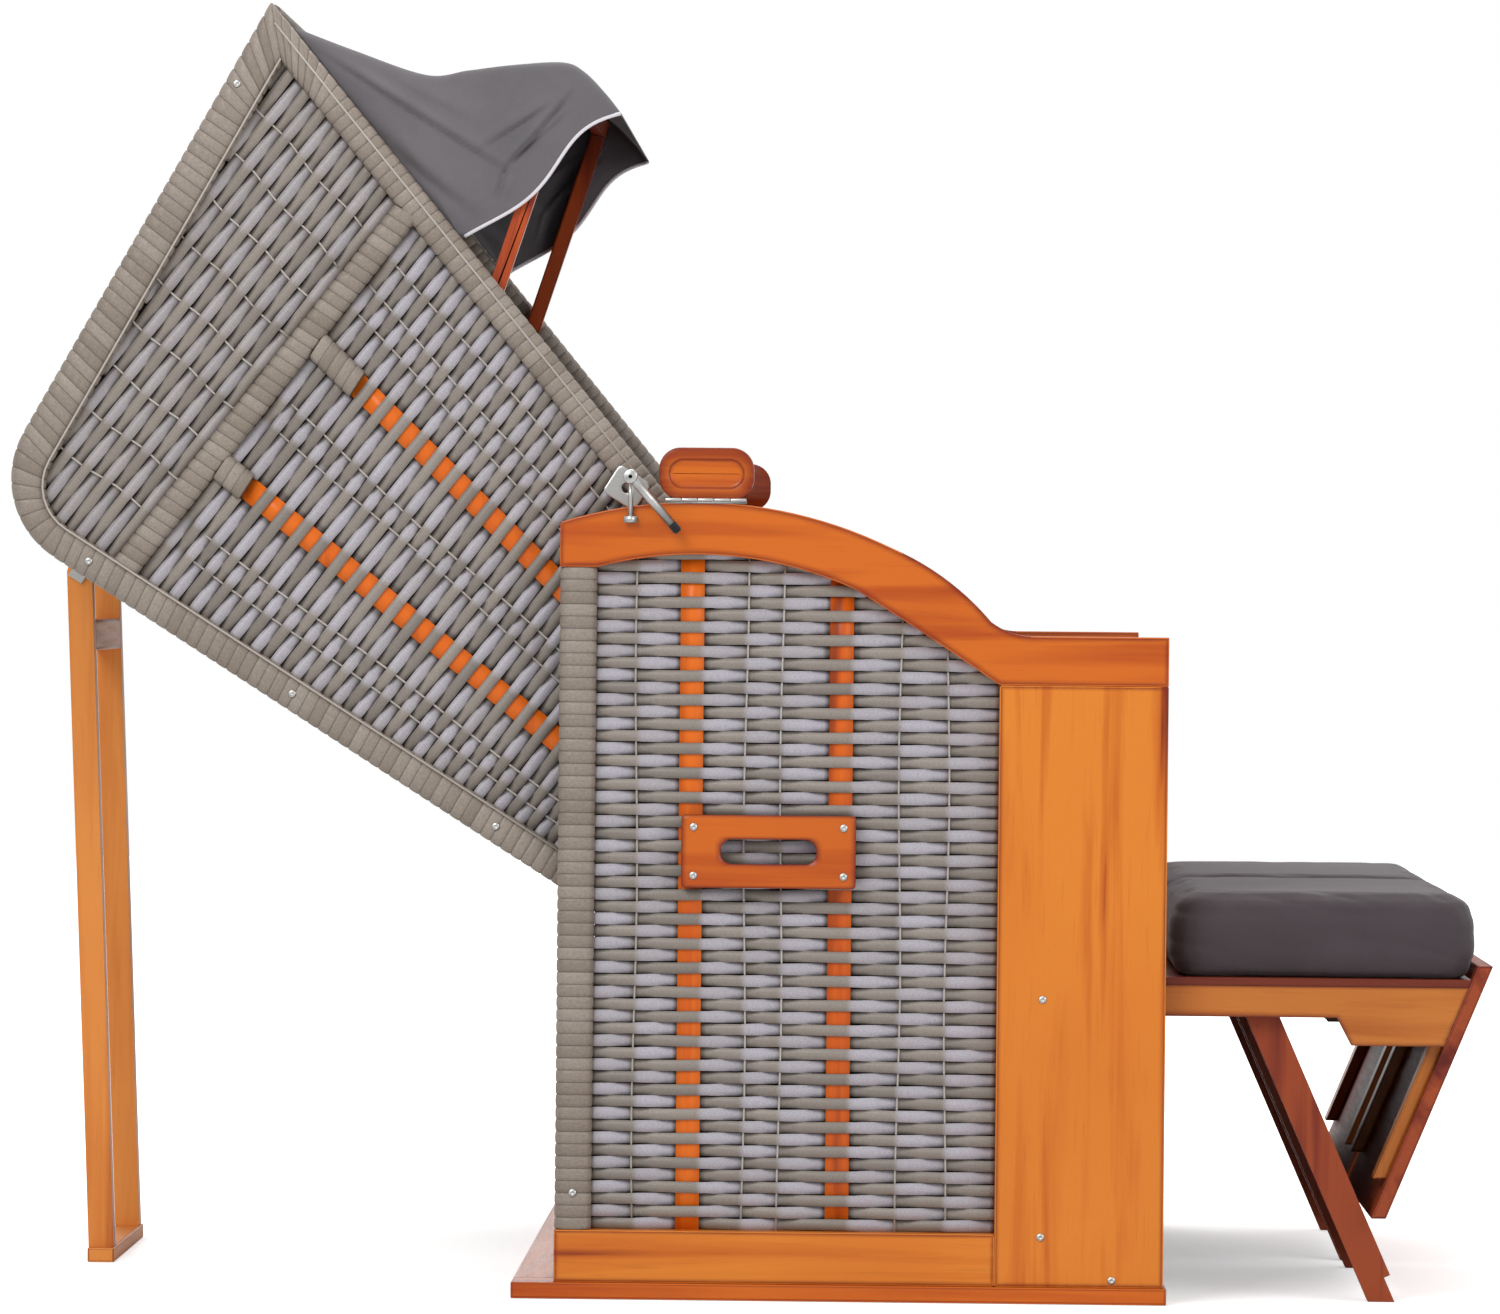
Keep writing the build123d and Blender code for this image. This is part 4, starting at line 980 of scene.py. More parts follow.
def hood_bolt_shafts():
    """Pivot bolts of the hood, which end out of sight behind the woven walls."""
    a, b = box("hood_bolts")
    sweep = Sweep()
    for _, sign in SIDES:
        rings = [ring_around(Vector(((a.x + b.x) / 2, sign * y, (a.z + b.z) / 2)), AHEAD, UP, radius)
                 for y, radius in BOLT_PROFILE]
        sweep.tube(rings if sign < 0 else rings[::-1])
    settle(sweep.build("hood_bolt_shafts", "steel"), "hood", "steel", "hood_bolts")


# Awning: one sheet from the hood's front edge over the hoop, with a gusset at each side

AWNING_Y = 0.5205
AWNING_INNER_Y = 0.5168
AWNING_FOOT = Vector((-0.477, 1.296))
AWNING_RIDGE = ((-0.687, 1.555), (-0.610, 1.526), (-0.522, 1.497), (-0.470, 1.503), (-0.420, 1.509),
                (-0.356, 1.5125), (-0.329, 1.502), (-0.302, 1.476), (-0.282, 1.452))
AWNING_ROWS, GUSSET_COLS, TOP_COLS = 84, 44, 60
AWNING_COLS = 2 * GUSSET_COLS + TOP_COLS
PIPING_BOW, BOW_EARLY = 0.012, 1.36
RIDGE_ROUND = 0.006
REAR_TUCK = 0.004
CLOTH_THICK = 0.0014
FOOT_GAP = 0.02
TUCK_FROM = 0.97
FAR_CREASES = 0.8
# The gusset's creases and tuck fade out towards the roof and towards the ridge at these rates
ROOF_FADE, RIDGE_FADE = 8, 6
SAG, SAG_TO, SAG_RISE = 0.016, 0.62, 5
# Towards the hem the sag falls off from this share on, at this rate, down to this least
HEM_FROM, HEM_RATE, HEM_SAG = 0.6, 2.4, 0.25
RIPPLE, RIPPLES, RIPPLE_SHIFT = 0.0022, 31, 9
EDGE_LIFT, EDGE_NEAR = 0.004, 0.03
PIPING_RADIUS, HEM_RADIUS = 0.0026, 0.0019
BLEND_START, BLEND_END = (-0.572, 0, 1.433), (-0.478, 0, 1.507)
CREASE_START, CREASE_SPAN, CREASE_RISE = 0.07, 0.86, 0.7
FOLD_WIDE, VALLEY_WIDE, VALLEY_DEEP = 1.5, 0.6, 0.9
# Each crease: its ends in the gusset's plane, its depth and its width
CREASES = (
    ((-0.668, 1.532), (-0.424, 1.380), 0.0100, 0.006),
    ((-0.424, 1.380), (-0.340, 1.478), 0.0085, 0.006),
    ((-0.452, 1.408), (-0.368, 1.462), 0.0070, 0.005),
    ((-0.420, 1.392), (-0.352, 1.446), 0.0060, 0.005),
    ((-0.424, 1.380), (-0.434, 1.345), 0.0060, 0.007),
    ((-0.630, 1.455), (-0.470, 1.330), 0.0070, 0.013),
    ((-0.585, 1.500), (-0.470, 1.440), 0.0050, 0.010),
)


def along_ridge(share):
    """Place on the awning's outline, rounded by a spline through its points."""
    pos = share * (len(AWNING_RIDGE) - 1)
    i = min(int(pos), len(AWNING_RIDGE) - 2)
    t = pos - i
    p = [Vector(AWNING_RIDGE[within(k, 0, len(AWNING_RIDGE) - 1)]) for k in (i - 1, i, i + 1, i + 2)]
    return 0.5 * (2 * p[1] + (p[2] - p[0]) * t + (2 * p[0] - 5 * p[1] + 4 * p[2] - p[3]) * t ** 2
                  + (3 * p[1] - p[0] - 3 * p[2] + p[3]) * t ** 3)


def crease_push(place):
    """How far the gusset is pushed out at a place: a fold with a sharp valley beside it."""
    push = 0.0
    for start, end, depth, width in CREASES:
        line = Vector(end) - Vector(start)
        share = within((place - Vector(start)).dot(line) / line.length_squared)
        offset = place - (Vector(start) + line * share)
        side = offset.cross(line.normalized())
        fade = math.sin(math.pi * within(share * CREASE_SPAN + CREASE_START)) ** CREASE_RISE
        ends = math.exp(-max(offset.length - abs(side), 0.0) / width)
        push += depth * fade * ends * (math.exp(-((side + width) / (FOLD_WIDE * width)) ** 2)
                                       - VALLEY_DEEP * math.exp(-(side / (VALLEY_WIDE * width)) ** 2))
    return push


def awning_point(row, col):
    share = row / AWNING_ROWS
    ridge = along_ridge(share)
    if not GUSSET_COLS < col < GUSSET_COLS + TOP_COLS:
        near = col <= GUSSET_COLS
        t = FOOT_GAP + (1 - FOOT_GAP) * (col if near else AWNING_COLS - col) / GUSSET_COLS
        flat = AWNING_FOOT.lerp(ridge, t)
        edge = (Vector(AWNING_RIDGE[-1]) - AWNING_FOOT).normalized()
        flat += Vector((edge.y, -edge.x)) * (PIPING_BOW * math.sin(math.tau * t ** BOW_EARLY) * share ** 3)
        hold = min(1.0, (1 - t) * RIDGE_FADE) * min(1.0, share * ROOF_FADE)
        push = crease_push(flat) * (1.0 if near else FAR_CREASES) * hold
        tuck = RIDGE_ROUND * max(0.0, (t - TUCK_FROM) / (1 - TUCK_FROM)) ** 2
        y = max(AWNING_Y + push, AWNING_INNER_Y) - tuck - REAR_TUCK * max(0.0, 1 - share * ROOF_FADE)
        return xz(flat, -y if near else y)
    t = (col - GUSSET_COLS) / TOP_COLS
    hump, width = math.sin(math.pi * share), math.sin(math.pi * t)
    y = -AWNING_Y + RIDGE_ROUND + 2 * (AWNING_Y - RIDGE_ROUND) * t
    held = min(share * SAG_RISE, 1.0)
    held *= 1.0 if share < HEM_FROM else max(HEM_SAG, 1 - (share - HEM_FROM) * HEM_RATE)
    sag = SAG * width ** 0.8 * math.sin(math.pi * min(share / SAG_TO, 1.0)) * held
    ripple = RIPPLE * math.sin(t * RIPPLES + share * RIPPLE_SHIFT) * hump * width
    lift = EDGE_LIFT * (math.exp(-(t / EDGE_NEAR) ** 2) + math.exp(-((1 - t) / EDGE_NEAR) ** 2))
    return xz(ridge, y) + Vector((0, 0, ripple - sag + lift * hump))


def applied(obj):
    """Gives an object the mesh that its modifiers make."""
    graph = bpy.context.evaluated_depsgraph_get()
    mesh = bpy.data.meshes.new_from_object(obj.evaluated_get(graph))
    obj.modifiers.clear()
    obj.data = mesh


def make_awning():
    """Cloth skin with a piped edge along its gussets and a hem between them."""
    width = AWNING_COLS + 1
    verts = [awning_point(r, c) for r in range(AWNING_ROWS + 1) for c in range(width)]
    faces = [(r * width + c, r * width + c + 1, (r + 1) * width + c + 1, (r + 1) * width + c)
             for r in range(AWNING_ROWS) for c in range(AWNING_COLS)]
    skin = new_object("awning_skin", verts, faces, [MATS["awning"]])
    thick = skin.modifiers.new("thick", "SOLIDIFY")
    thick.thickness, thick.offset = CLOTH_THICK, 0
    applied(skin)

    edge = verts[AWNING_ROWS * width:]
    piping = Sweep()
    cord_line(piping, edge[:GUSSET_COLS + 1], PIPING_RADIUS)
    cord_line(piping, edge[GUSSET_COLS + TOP_COLS:], PIPING_RADIUS)
    cord_line(piping, edge[GUSSET_COLS:GUSSET_COLS + TOP_COLS + 1], HEM_RADIUS, mat=1)
    trim = piping.build("awning_piping", "piping", "awning")
    for obj in (skin, trim):
        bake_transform(obj, "hood", "awning", start=BLEND_START, end=BLEND_END)
    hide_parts("awning_cloth")


# Cushions: one of each is inflated and settled, and its twin is mirrored from it

# Each cushion: its name, voxel, inset before it is inflated, cap on its swelling,
# rounds of smoothing, depth of its wrinkles, and the bodies of its two sides
CUSHIONS = (
    ("seat_cushion", 0.0085, 0.006, 0.016, 3, 0.0012, ("basket", "basket")),
    ("back_cushion", 0.0100, 0.008, 0.018, 3, 0.0012, ("hood", "hood")),
    ("footrest_cushion", 0.0060, 0.001, 0.005, 1, 0.0014, ("footrest_near", "footrest_far")),
)
PRESSURE, CLOTH_QUALITY, CLOTH_FRAMES = 4, 4, 20
# Wrinkles follow the zero lines of a noise: its scale and slant, how narrow they are, and a finer noise
WRINKLE_SCALE = Vector((9.0, 7.0, 16.0))
WRINKLE_SLANT, WRINKLE_NARROW = 1.4, 3.2
FINE_SCALE, FINE_SHARE = 2.3, 0.5


def shrunk(node, inset):
    """Copy of a node's mesh, drawn in by the same amount at each side."""
    mesh = frame["nodes"][node].data.copy()
    mesh.transform(frame["nodes"][node].matrix_world)
    a, b = box(node)
    mid, size = (a + b) / 2, b - a
    for vert in mesh.vertices:
        for k in range(3):
            vert.co[k] = mid[k] + (vert.co[k] - mid[k]) * (size[k] - 2 * inset) / size[k]
    return link(node + "_pad", mesh)


def with_modifier(obj, kind, **settings):
    mod = obj.modifiers.new(kind.lower(), kind)
    for name, value in settings.items():
        setattr(mod, name, value)
    applied(obj)


def inflate(obj, cap):
    """Swells a pad by cloth pressure, each point by no more than the cap."""
    scene = bpy.context.scene
    rest = [v.co.copy() for v in obj.data.vertices]
    mod = obj.modifiers.new("cloth", "CLOTH")
    mod.settings.use_pressure = True
    mod.settings.uniform_pressure_force = PRESSURE
    mod.settings.effector_weights.gravity = 0
    mod.settings.quality = CLOTH_QUALITY
    mod.collision_settings.use_self_collision = False
    mod.point_cache.frame_end = CLOTH_FRAMES
    for number in range(1, CLOTH_FRAMES + 1):
        scene.frame_set(number)
    applied(obj)
    scene.frame_set(1)
    for vert, old in zip(obj.data.vertices, rest):
        move = vert.co - old
        if move.length > cap:
            move *= cap / move.length
        vert.co = old + move


def wrinkled(mesh, depth, corners):
    """Presses wrinkles into a pad, which stays inside its corners."""
    normals = [v.normal.copy() for v in mesh.vertices]
    for vert, normal in zip(mesh.vertices, normals):
        spot = vert.co * WRINKLE_SCALE
        spot.x += WRINKLE_SLANT * spot.z
        fold = 1 - abs(noise.noise(spot)) * WRINKLE_NARROW + FINE_SHARE * noise.noise(spot * FINE_SCALE)
        vert.co -= normal * depth * max(0.0, fold)
        vert.co = [within(vert.co[k], *ends) for k, ends in enumerate(zip(*corners))]


def make_cushions():
    for name, voxel, inset, cap, rounds, wrinkle, bodies in CUSHIONS:
        node = name + "_near"
        pad = shrunk(node, inset)
        with_modifier(pad, "REMESH", mode="VOXEL", voxel_size=voxel)
        inflate(pad, cap)
        with_modifier(pad, "SMOOTH", factor=0.5, iterations=rounds)
        with_modifier(pad, "SUBSURF", levels=1)
        wrinkled(pad.data, wrinkle, box(node))
        pad.data.materials.clear()
        pad.data.materials.append(MATS["cushion"])
        pad.data.polygons.foreach_set("use_smooth", [True] * len(pad.data.polygons))
        twin = link(name + "_far_pad", pad.data.copy())
        twin.data.transform(Matrix.Scale(-1, 4, (0, 1, 0)))
        twin.data.flip_normals()
        for obj, side, body in zip((pad, twin), ("_near", "_far"), bodies):
            settle(obj, body, "cushion_cloth", name + side)


# Light and floor

# Each lamp: its place, what it points at, its size and its power
LAMPS = {
    "key": ((-2.2, -4.2, 3.8), (0, 0, 0.7), (2.4, 2.4), 132),
    "fill": ((3.6, -3.4, 2.2), (0, 0, 0.6), (3.0, 2.2), 60),
    "top": ((0.2, 0.4, 4.4), (0, 0, 0.5), (3.0, 3.0), 62),
    "rear": ((-1.5, 4.0, 2.6), (0, 0, 0.8), (3.0, 2.0), 60),
}
WORLD_LIGHT = 0.52
FLOOR_HALF, FLOOR_DROP = 14, 0.0005
FLOOR_FADE = 4.0


def lights_and_floor():
    """Soft lamps, and a world that is white where it is seen and dimmer as light."""
    scene = bpy.context.scene
    scene.view_settings.view_transform = "Standard"
    scene.world = bpy.data.worlds.new("world")
    scene.world.use_nodes = True
    tree = scene.world.node_tree
    back = tree.nodes["Background"]
    path = tree.nodes.new("ShaderNodeLightPath")
    seen = path.outputs["Is Camera Ray"]
    for ray in ("Is Glossy Ray", "Is Transmission Ray"):
        add = tree.nodes.new("ShaderNodeMath")
        add.operation = "MAXIMUM"
        tree.links.new(seen, add.inputs[0])
        tree.links.new(path.outputs[ray], add.inputs[1])
        seen = add.outputs[0]
    level = tree.nodes.new("ShaderNodeMapRange")
    level.inputs["To Min"].default_value = WORLD_LIGHT
    level.inputs["To Max"].default_value = 1.0
    tree.links.new(seen, level.inputs["Value"])
    tree.links.new(level.outputs[0], back.inputs["Strength"])
    back.inputs["Color"].default_value = (1, 1, 1, 1)

    for name, (place, target, size, power) in LAMPS.items():
        lamp = link(name, bpy.data.lights.new(name, "AREA"))
        lamp.data.shape = "RECTANGLE"
        lamp.data.size, lamp.data.size_y = size
        lamp.data.energy = power
        lamp.location = place
        lamp.rotation_euler = (Vector(target) - Vector(place)).to_track_quat("-Z", "Y").to_euler()

    corners = [Vector((x, y, 0)) * FLOOR_HALF for x, y in SQUARE]
    floor = new_object("floor", corners, [(0, 1, 2, 3)], [floor_material()], smooth=False)
    floor.location.z = -FLOOR_DROP


def floor_material():
    """White floor that keeps the chair's soft shadow."""
    n = Nodes("floor")
    n.finish((0.90, 0.90, 0.90), 0.9, Specular_IOR_Level=0.0)
    path = n.add("ShaderNodeLightPath")
    n.bsdf.inputs["Emission Color"].default_value = (1, 1, 1, 1)
    far = n.add("ShaderNodeVectorMath")
    far.operation = "LENGTH"
    n.put(far.inputs[0], n.add("ShaderNodeTexCoord").outputs["Object"])
    glow = n.ramp(n.math("DIVIDE", far.outputs["Value"], FLOOR_FADE), (0.1, 0.42), (0.55, 1.0))
    n.put(n.bsdf.inputs["Emission Strength"], n.math("MULTIPLY", path.outputs["Is Camera Ray"], glow))
    return n.mat


# Boards: bevelled copies of the construction's boards, with a darker stain along their edges

# Each board: its wood and the record's material slot
BOARDS = {
    "skids": ("honey_X", "wood_honey"), "rear_cross_board": ("honey_Y", "wood_honey"),
    "floor_bearer": ("honey_Y", "wood_honey"), "bottom_rail": ("pale_X", "wood_honey"),
    "front_board": ("pale_Z", "wood_honey"), "armrest": ("honey_X", "wood_honey"),
    "seat_board": ("honey_Y", "wood_honey"), "seat_divider": ("honey_X", "wood_honey"),
    "footrest_guides": ("honey_X", "wood_honey"), "footrest_rails": ("batten_X", "wood_honey"),
    "footrest_battens": ("batten_Z", "wood_honey"), "footrest_front": ("front_Y", "wood_red"),
    "footrest_deck": ("deck_X", "wood_red"), "footrest_leg": ("front_Z", "wood_red"),
    "awning_hoop": ("red_Z", "wood_red"), "leg_post": ("leg_Z", "wood_red"),
    "leg_rail": ("leg_Y", "wood_red"), "leg_foot": ("leg_Y", "wood_red"),
}
# Boards with a bore through the faces that look along Y, which get no inset
BORED = ("leg_post", "footrest_leg")
BEVEL, LEAST_BEVEL, BEVEL_SHARE = 0.0016, 0.0004, 0.4
FLAT_ANGLE, SHARP_ANGLE = math.radians(1.5), math.radians(28)
STAIN_IN = 0.007
STAIN_SHARE = 0.2
SMALL_FACE = 2e-5
FACES_Y = 0.9


def base_name(node):
    return node.rsplit("_", 1)[0] if node.endswith(("_near", "_far")) else node


def board(node, mat, slot):
    """Copy of a node with bevelled edges, and stain marked along the border of its larger faces."""
    source = frame["nodes"][node]
    mesh = source.data.copy()
    mesh.transform(source.matrix_world)
    work = bmesh.new()
    work.from_mesh(mesh)
    stain = work.verts.layers.float.new("stain")
    bmesh.ops.remove_doubles(work, verts=work.verts, dist=SAME)
    bmesh.ops.dissolve_limit(work, angle_limit=FLAT_ANGLE, verts=work.verts, edges=work.edges)
    sharp = [e for e in work.edges if len(e.link_faces) == 2 and e.calc_face_angle() > SHARP_ANGLE]
    small = min(edge.calc_length() for edge in work.edges)
    bmesh.ops.bevel(work, geom=sharp, offset=min(BEVEL, max(small * BEVEL_SHARE, LEAST_BEVEL)), segments=2,
                    profile=0.6, affect="EDGES", clamp_overlap=True)
    large = [f for f in work.faces if f.calc_area() > SMALL_FACE]
    for face in work.faces:
        face.smooth = True
    for vert in work.verts:
        vert[stain] = 1.0
    for face in large:
        depth = min(STAIN_IN, STAIN_SHARE * 2 * face.calc_area() / face.calc_perimeter())
        if base_name(node) not in BORED or abs(face.normal.y) < FACES_Y:
            bmesh.ops.inset_individual(work, faces=[face], thickness=depth, depth=0.0)
        face.smooth = False
        for vert in face.verts:
            vert[stain] = 0.0
    work.to_mesh(mesh)
    work.free()
    mesh.materials.clear()
    mesh.materials.append(MATS[mat])
    settle(link(node + "_board", mesh), body_of(source)[0], slot, node)


# Plates, in rings from their outer edge inward. Each loop gives a ring's share from outline to
# outline, its share of the thickness and its stain
SLOT_SHARES, SLOT_ROUND = (0.55, 0.34), 0.96
HANDLE_CORNER = 0.004
HANDLE_LOOPS = ((0.0, 0.0, 1.0), (0.0, 0.9, 1.0), (0.012, 1.0, 1.0), (0.16, 1.0, 0.0), (0.84, 1.0, 0.0),
                (0.985, 1.0, 1.0), (1.0, 0.9, 1.0), (1.0, 0.0, 1.0))


def rounded(half, radius, share):
    """Point of a rounded rectangle at a share of its way round."""
    turn = share * math.tau
    side = Vector((math.cos(turn) * half[0] * 2, math.sin(turn) * half[1] * 2))
    core = Vector((half[0] - radius, half[1] - radius))
    flat = Vector((within(side.x, -core.x, core.x), within(side.y, -core.y, core.y)))
    out = side - flat
    return flat + (out.normalized() * radius if out.length > TINY else Vector((0, radius)))


RING_COUNT = 96


def ringed(name, mid, outer, inner, ys, loops, mat, capped=False):
    """Plate facing along Y. outer and inner give points of its outlines, ys its back and face."""
    verts, stain, faces = [], [], []
    for share, face, mark in loops:
        for k in range(RING_COUNT):
            point = mid + outer(k / RING_COUNT).lerp(inner(k / RING_COUNT), share)
            verts.append(xz(point, ys[0] + (ys[1] - ys[0]) * face))
            stain.append(mark)
    for i in range(len(loops) - (1 if capped else 0)):
        a, b = i * RING_COUNT, (i + 1) % len(loops) * RING_COUNT
        for k in range(RING_COUNT):
            n = (k + 1) % RING_COUNT
            faces.append((a + k, a + n, b + n, b + k))
    if capped:
        end = (len(loops) - 1) * RING_COUNT
        faces += [tuple(reversed(range(RING_COUNT))), tuple(range(end, end + RING_COUNT))]
    if ys[1] < ys[0]:
        faces = [face[::-1] for face in faces]
    obj = new_object(name, verts, faces, [MATS[mat]])
    obj.data.attributes.new("stain", "FLOAT", "POINT").data.foreach_set("value", stain)
    return obj


def side_plate(node, side, sign, corner, inner_half, inner_round, loops, capped=False):
    """Wooden plate in place of a node, with a hole or a recess in its middle."""
    a, b = box(node + "_near")
    half = Vector(((b.x - a.x) / 2, (b.z - a.z) / 2))
    inner = inner_half(half)
    return ringed(f"{node}_plate_{side}", Vector(((a.x + b.x) / 2, (a.z + b.z) / 2)),
                  lambda s: rounded(half, corner, s), lambda s: rounded(inner, inner[1] * inner_round, s),
                  (sign * abs(b.y), sign * abs(a.y)), loops, "honey_X", capped)


def handle(side, sign):
    """Plate with a hand hole."""
    obj = side_plate("handle", side, sign, HANDLE_CORNER, lambda half: half * Vector(SLOT_SHARES),
                     SLOT_ROUND, HANDLE_LOOPS)
    settle(obj, "basket", "wood_honey", "handle_" + side)


TRAY_CORNER = 0.027
TRAY_RECESS, RECESS_ROUND = Vector((0.045, 0.017)), 0.98
TRAY_LOOPS = ((0.0, 0.0, 1.0), (0.0, 0.85, 1.0), (0.05, 0.97, 1.0), (0.12, 1.0, 1.0), (0.5, 1.0, 0.75),
              (0.82, 0.995, 0.5), (0.93, 0.96, 0.8), (1.0, 0.86, 0.9), (1.12, 0.80, 0.4), (1.35, 0.78, 0.0))


def tray(side, sign):
    """Small table with a long recess."""
    obj = side_plate("tray", side, sign, TRAY_CORNER, lambda half: TRAY_RECESS, RECESS_ROUND,
                     TRAY_LOOPS, capped=True)
    settle(obj, "tray_" + side, "wood_honey", "tray_" + side)


# Hardware


def islands(node):
    """Boxes of the separate pieces of a node."""
    work = bmesh.new()
    work.from_mesh(frame["nodes"][node].data)
    bmesh.ops.remove_doubles(work, verts=work.verts, dist=SAME)
    seen, boxes = set(), []
    for seed in work.verts:
        if seed in seen:
            continue
        group, todo = [], [seed]
        seen.add(seed)
        while todo:
            vert = todo.pop()
            group.append(vert.co.copy())
            for edge in vert.link_edges:
                other = edge.other_vert(vert)
                if other not in seen:
                    seen.add(other)
                    todo.append(other)
        boxes.append((Vector([min(c[k] for c in group) for k in range(3)]),
                      Vector([max(c[k] for c in group) for k in range(3)])))
    work.free()
    return boxes


SCREW_PROFILE = ((0.0, 1.0), (0.35, 0.98), (0.75, 0.80), (1.0, 0.45), (0.98, 0.30), (0.55, 0.22),
                 (0.5, 0.06))
PLATE_FROM = 0.03
PLATE_HALF, PLATE_ROUND = (0.020, 0.023), 0.006
PLATE_EYE, EYE_ROUND = (0.0065, 0.0065), 0.98


def turned(sweep, centre, profile, radius, y0, y1):
    """Round piece along Y: each profile step is a share of the way from y0 to y1 and of the radius."""
    rings = [ring_around(Vector((centre.x, y0 + (y1 - y0) * along, centre.z)), AHEAD, UP, size * radius)
             for along, size in profile]
    sweep.tube(rings if y1 < y0 else [ring[::-1] for ring in rings])


def screws(node, body, name):
    """Domed heads where the node has its screws, and plates with an eye where it has plates."""
    sweep = Sweep()
    lean = Matrix.Rotation(RECLINE, 2)
    for a, b in islands(node):
        side, sign = SIDES[1 if a.y > 0 else 0]
        ys = [sign * y for y in sorted((abs(a.y), abs(b.y)))]
        mid = (a + b) / 2
        if b.x - a.x < PLATE_FROM:
            turned(sweep, mid, SCREW_PROFILE, (b.x - a.x) / 2, *ys)
        else:
            plate = ringed("lock_plate_" + side, Vector((mid.x, mid.z)),
                           lambda s: lean @ rounded(PLATE_HALF, PLATE_ROUND, s),
                           lambda s: lean @ rounded(PLATE_EYE, PLATE_EYE[1] * EYE_ROUND, s),
                           ys, HANDLE_LOOPS, "steel")
            settle(plate, body, "steel")
    settle(sweep.build(name, "steel"), body, "steel", node)


# Places along Y count from the chair's middle, and the leaf's heights from its hinge down
LOCK_AT = Vector(next(j for j in frame["joints"] if j["name"] == "lock_swing_near")["pos_m"])
LEVER_ANGLE = math.radians(48.5)
LEVER_LENGTH, LEVER_RADIUS, LEVER_TIP = 0.0895, 0.0053, 0.012
# The lever and its black tip, in steps along it, each with its share of the radius
LEVER_STEPS = ((0.006, 0.9), (0.008, 1.0), (LEVER_LENGTH - LEVER_TIP, 1.0))
TIP_STEPS = ((LEVER_LENGTH - LEVER_TIP, 1.06), (LEVER_LENGTH - 0.003, 1.06), (LEVER_LENGTH, 0.7))
EYE_RADIUS, EYE_Y0, EYE_Y1 = 0.0090, 0.6150, 0.6268
EYE_PROFILE = ((0.0, 0.82), (0.08, 1.0), (0.92, 1.0), (1.0, 0.82))
ROD_Y, ROD_RADIUS, BALL_RADIUS = 0.6056, 0.0030, 0.0062
ROD_LOW, ROD_TOP = 0.952, 1.0065
ROD_STEPS = ((ROD_LOW, 1.0), (ROD_TOP, 1.0))
BALL_STEPS = ((-1.0, 0.2), (-0.9, 0.44), (-0.6, 0.8), (-0.2, 0.98), (0.2, 0.98), (0.6, 0.8), (0.9, 0.44),
              (1.0, 0.2))
BASE_HALF, BASE_STEPS = 0.008, ((-0.004, 0.9), (-0.003, 1.0), (0.003, 1.0), (0.004, 0.9))
PIN_RADIUS, PIN_PROFILE = 0.0029, ((0.0, 1.0), (0.95, 1.0), (1.0, 0.8))
ARM_FACE = 0.6
KNUCKLES, KNUCKLE_Y, KNUCKLE_RADIUS, KNUCKLE_SIDES = 5, 0.5995, 0.0024, 14
KNUCKLE_GAP, KNUCKLE_ROUND, KNUCKLE_END = 0.0003, 0.001, 0.85
LEAF_LONG, LEAF_IN, LEAF_LOW, LEAF_TOP = 0.0995, 0.584, 0.0045, 0.0002


def rod(sweep, start, along, axes, radius, steps, mat=0, sides=ROUND_SIDES):
    """Round bar from start: each step is a distance along it and a share of the radius."""
    sweep.tube([ring_around(start + along * d, *axes, radius * r, sides) for d, r in steps], mat=mat)


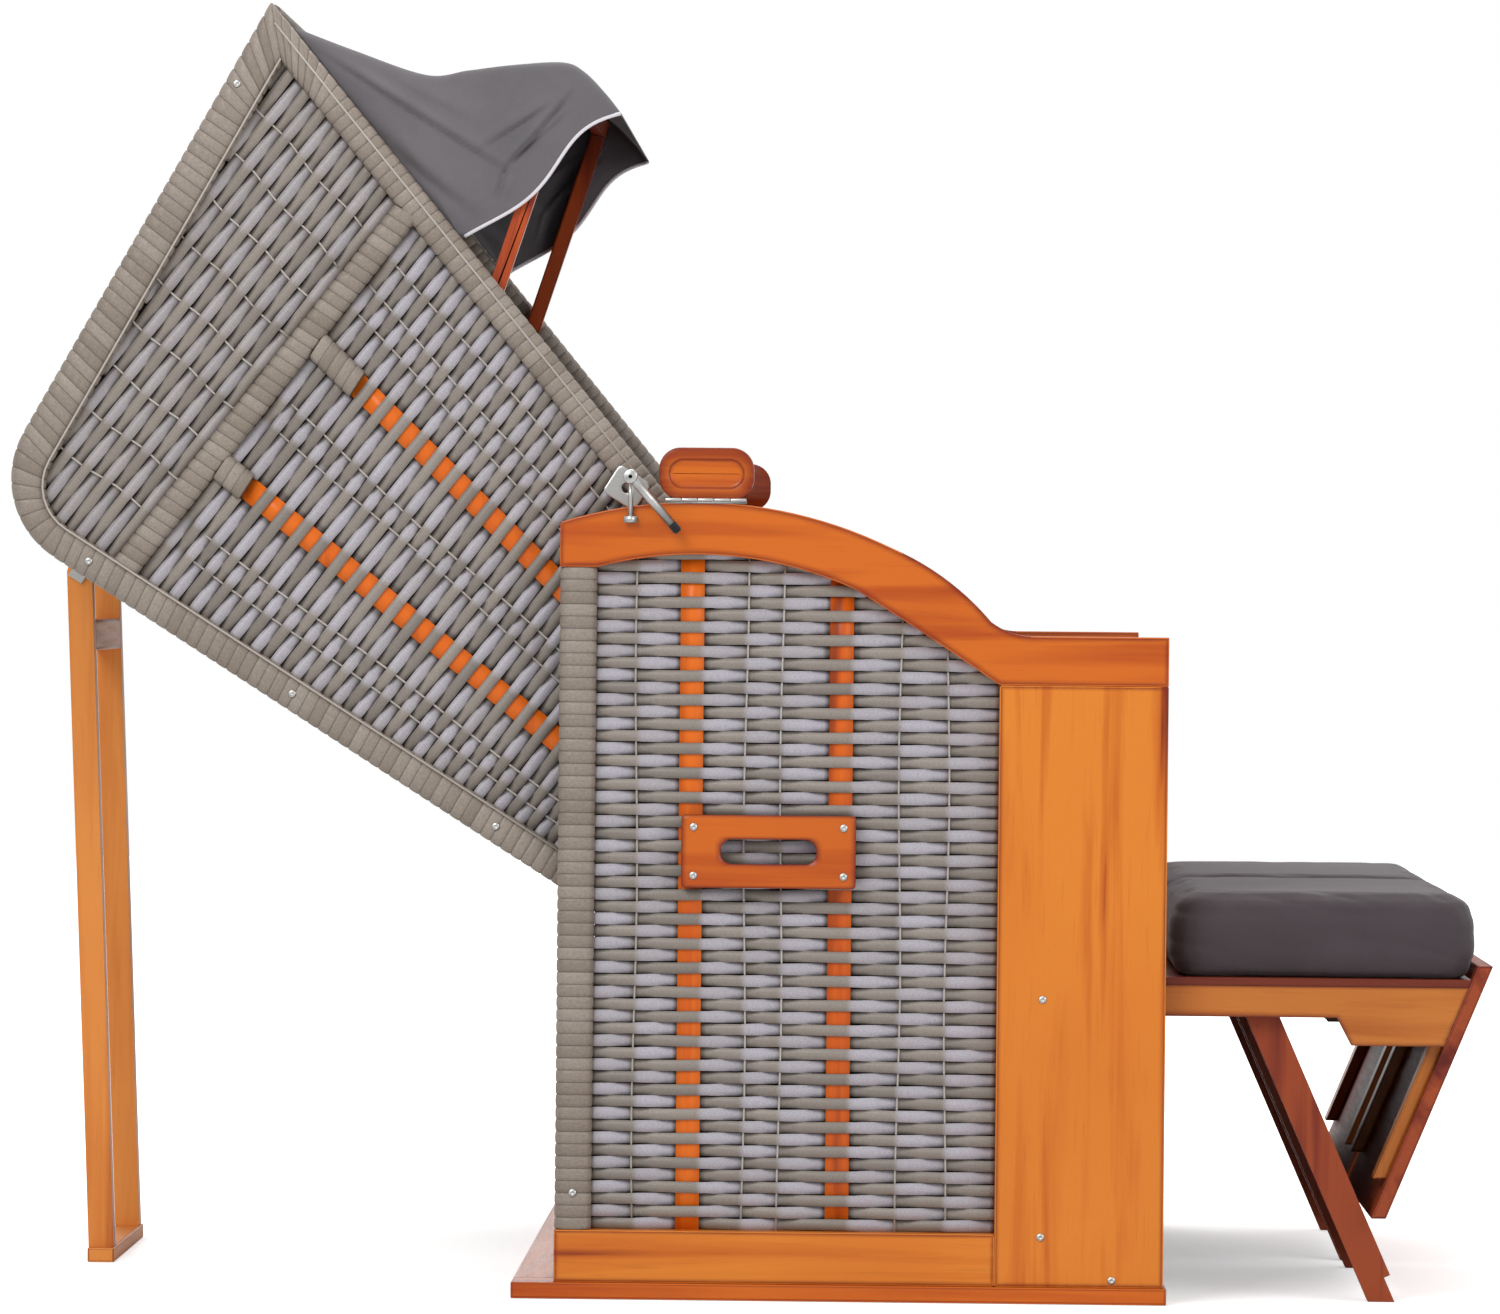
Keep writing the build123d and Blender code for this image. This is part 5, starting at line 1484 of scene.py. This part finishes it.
def lock(side, sign):
    """Lever with a black tip, and the upright rod with a ball that holds it."""
    along = Vector((math.cos(LEVER_ANGLE), 0, -math.sin(LEVER_ANGLE)))
    over = Vector((math.sin(LEVER_ANGLE), 0, math.cos(LEVER_ANGLE)))
    pivot = Vector((LOCK_AT.x, sign * (EYE_Y0 + EYE_Y1) / 2, LOCK_AT.z))
    sweep = Sweep()
    rod(sweep, pivot, along, (ACROSS, over), LEVER_RADIUS, LEVER_STEPS)
    rod(sweep, pivot, along, (ACROSS, over), LEVER_RADIUS, TIP_STEPS, mat=1)
    turned(sweep, pivot, EYE_PROFILE, EYE_RADIUS, sign * EYE_Y0, sign * EYE_Y1)
    settle(sweep.build("lock_arm_" + side, "steel", "rubber"), "lock_" + side, "steel", "lock_lever_" + side)

    sweep = Sweep()
    foot = Vector((LOCK_AT.x, sign * ROD_Y, 0))
    rod(sweep, foot, UP, (ACROSS, AHEAD), ROD_RADIUS, ROD_STEPS)
    ball = [(ROD_TOP + BALL_RADIUS * h, r) for h, r in BALL_STEPS]
    rod(sweep, foot, UP, (ACROSS, AHEAD), BALL_RADIUS, ball)
    half_y = (ROD_Y + ROD_RADIUS - ARM_FACE) / 2
    base = Vector((LOCK_AT.x, sign * (ARM_FACE + half_y), ROD_LOW))
    sweep.tube([[base + Vector((x * BASE_HALF * r, y * half_y, z)) for x, y in SQUARE]
                for z, r in BASE_STEPS])
    turned(sweep, LOCK_AT, PIN_PROFILE, PIN_RADIUS, sign * ROD_Y, sign * EYE_Y1)
    x1, hinge_z = high("armrest_fittings").x, low("tray_near").z
    wide = LEAF_LONG / KNUCKLES
    steps = ((KNUCKLE_GAP, KNUCKLE_END), (KNUCKLE_ROUND, 1.0), (wide - KNUCKLE_ROUND, 1.0),
             (wide - KNUCKLE_GAP, KNUCKLE_END))
    for k in range(KNUCKLES):
        start = Vector((x1 - LEAF_LONG + wide * k, sign * KNUCKLE_Y, hinge_z))
        rod(sweep, start, AHEAD, (ACROSS, UP), KNUCKLE_RADIUS, steps, sides=KNUCKLE_SIDES)
    corners = ((ARM_FACE, LEAF_LOW), (ARM_FACE, LEAF_TOP), (LEAF_IN, LEAF_TOP), (LEAF_IN, LEAF_LOW))
    sweep.tube([[Vector((x, sign * y, hinge_z - drop)) for y, drop in corners]
                for x in (x1 - LEAF_LONG, x1)])
    settle(sweep.build("lock_rod_" + side, "steel"), "basket", "steel", "armrest_fittings")


# Nodes that woven pieces stand for
WOVEN = ("rear_post", "hood_frame", "hood_weave", "hood_roof", "hood_back", "rear_panel", "side_weave")


def dress_nodes():
    """Gives every node its board, or the finish of what it is made of."""
    for node, obj in list(frame["nodes"].items()):
        if base_name(node) in BOARDS:
            board(node, *BOARDS[base_name(node)])
            continue
        finish = "steel"
        if base_name(node) in WOVEN:
            finish = "wrap"
        elif "cushion" in node:
            finish = "cushion"
        elif node in ("side_stakes", "hood_stakes"):
            finish = "accent_Z"
        elif node == "awning_cloth":
            finish = "awning"
        for slot in obj.material_slots:
            slot.material = MATS[finish]


make_camera()
lights_and_floor()
dress_nodes()
rear_posts()
rear_wall()
hood_shell("back", "hood_back")
hood_shell("roof", "hood_roof")
screws("side_screws", "basket", "side_screw_heads")
screws("hood_fittings", "hood", "hood_screw_heads")
for side, sign in SIDES:
    handle(side, sign)
    tray(side, sign)
    lock(side, sign)
    side_wall(side, sign)
    hood_side(side, sign)
hood_bolt_shafts()
make_awning()
make_cushions()
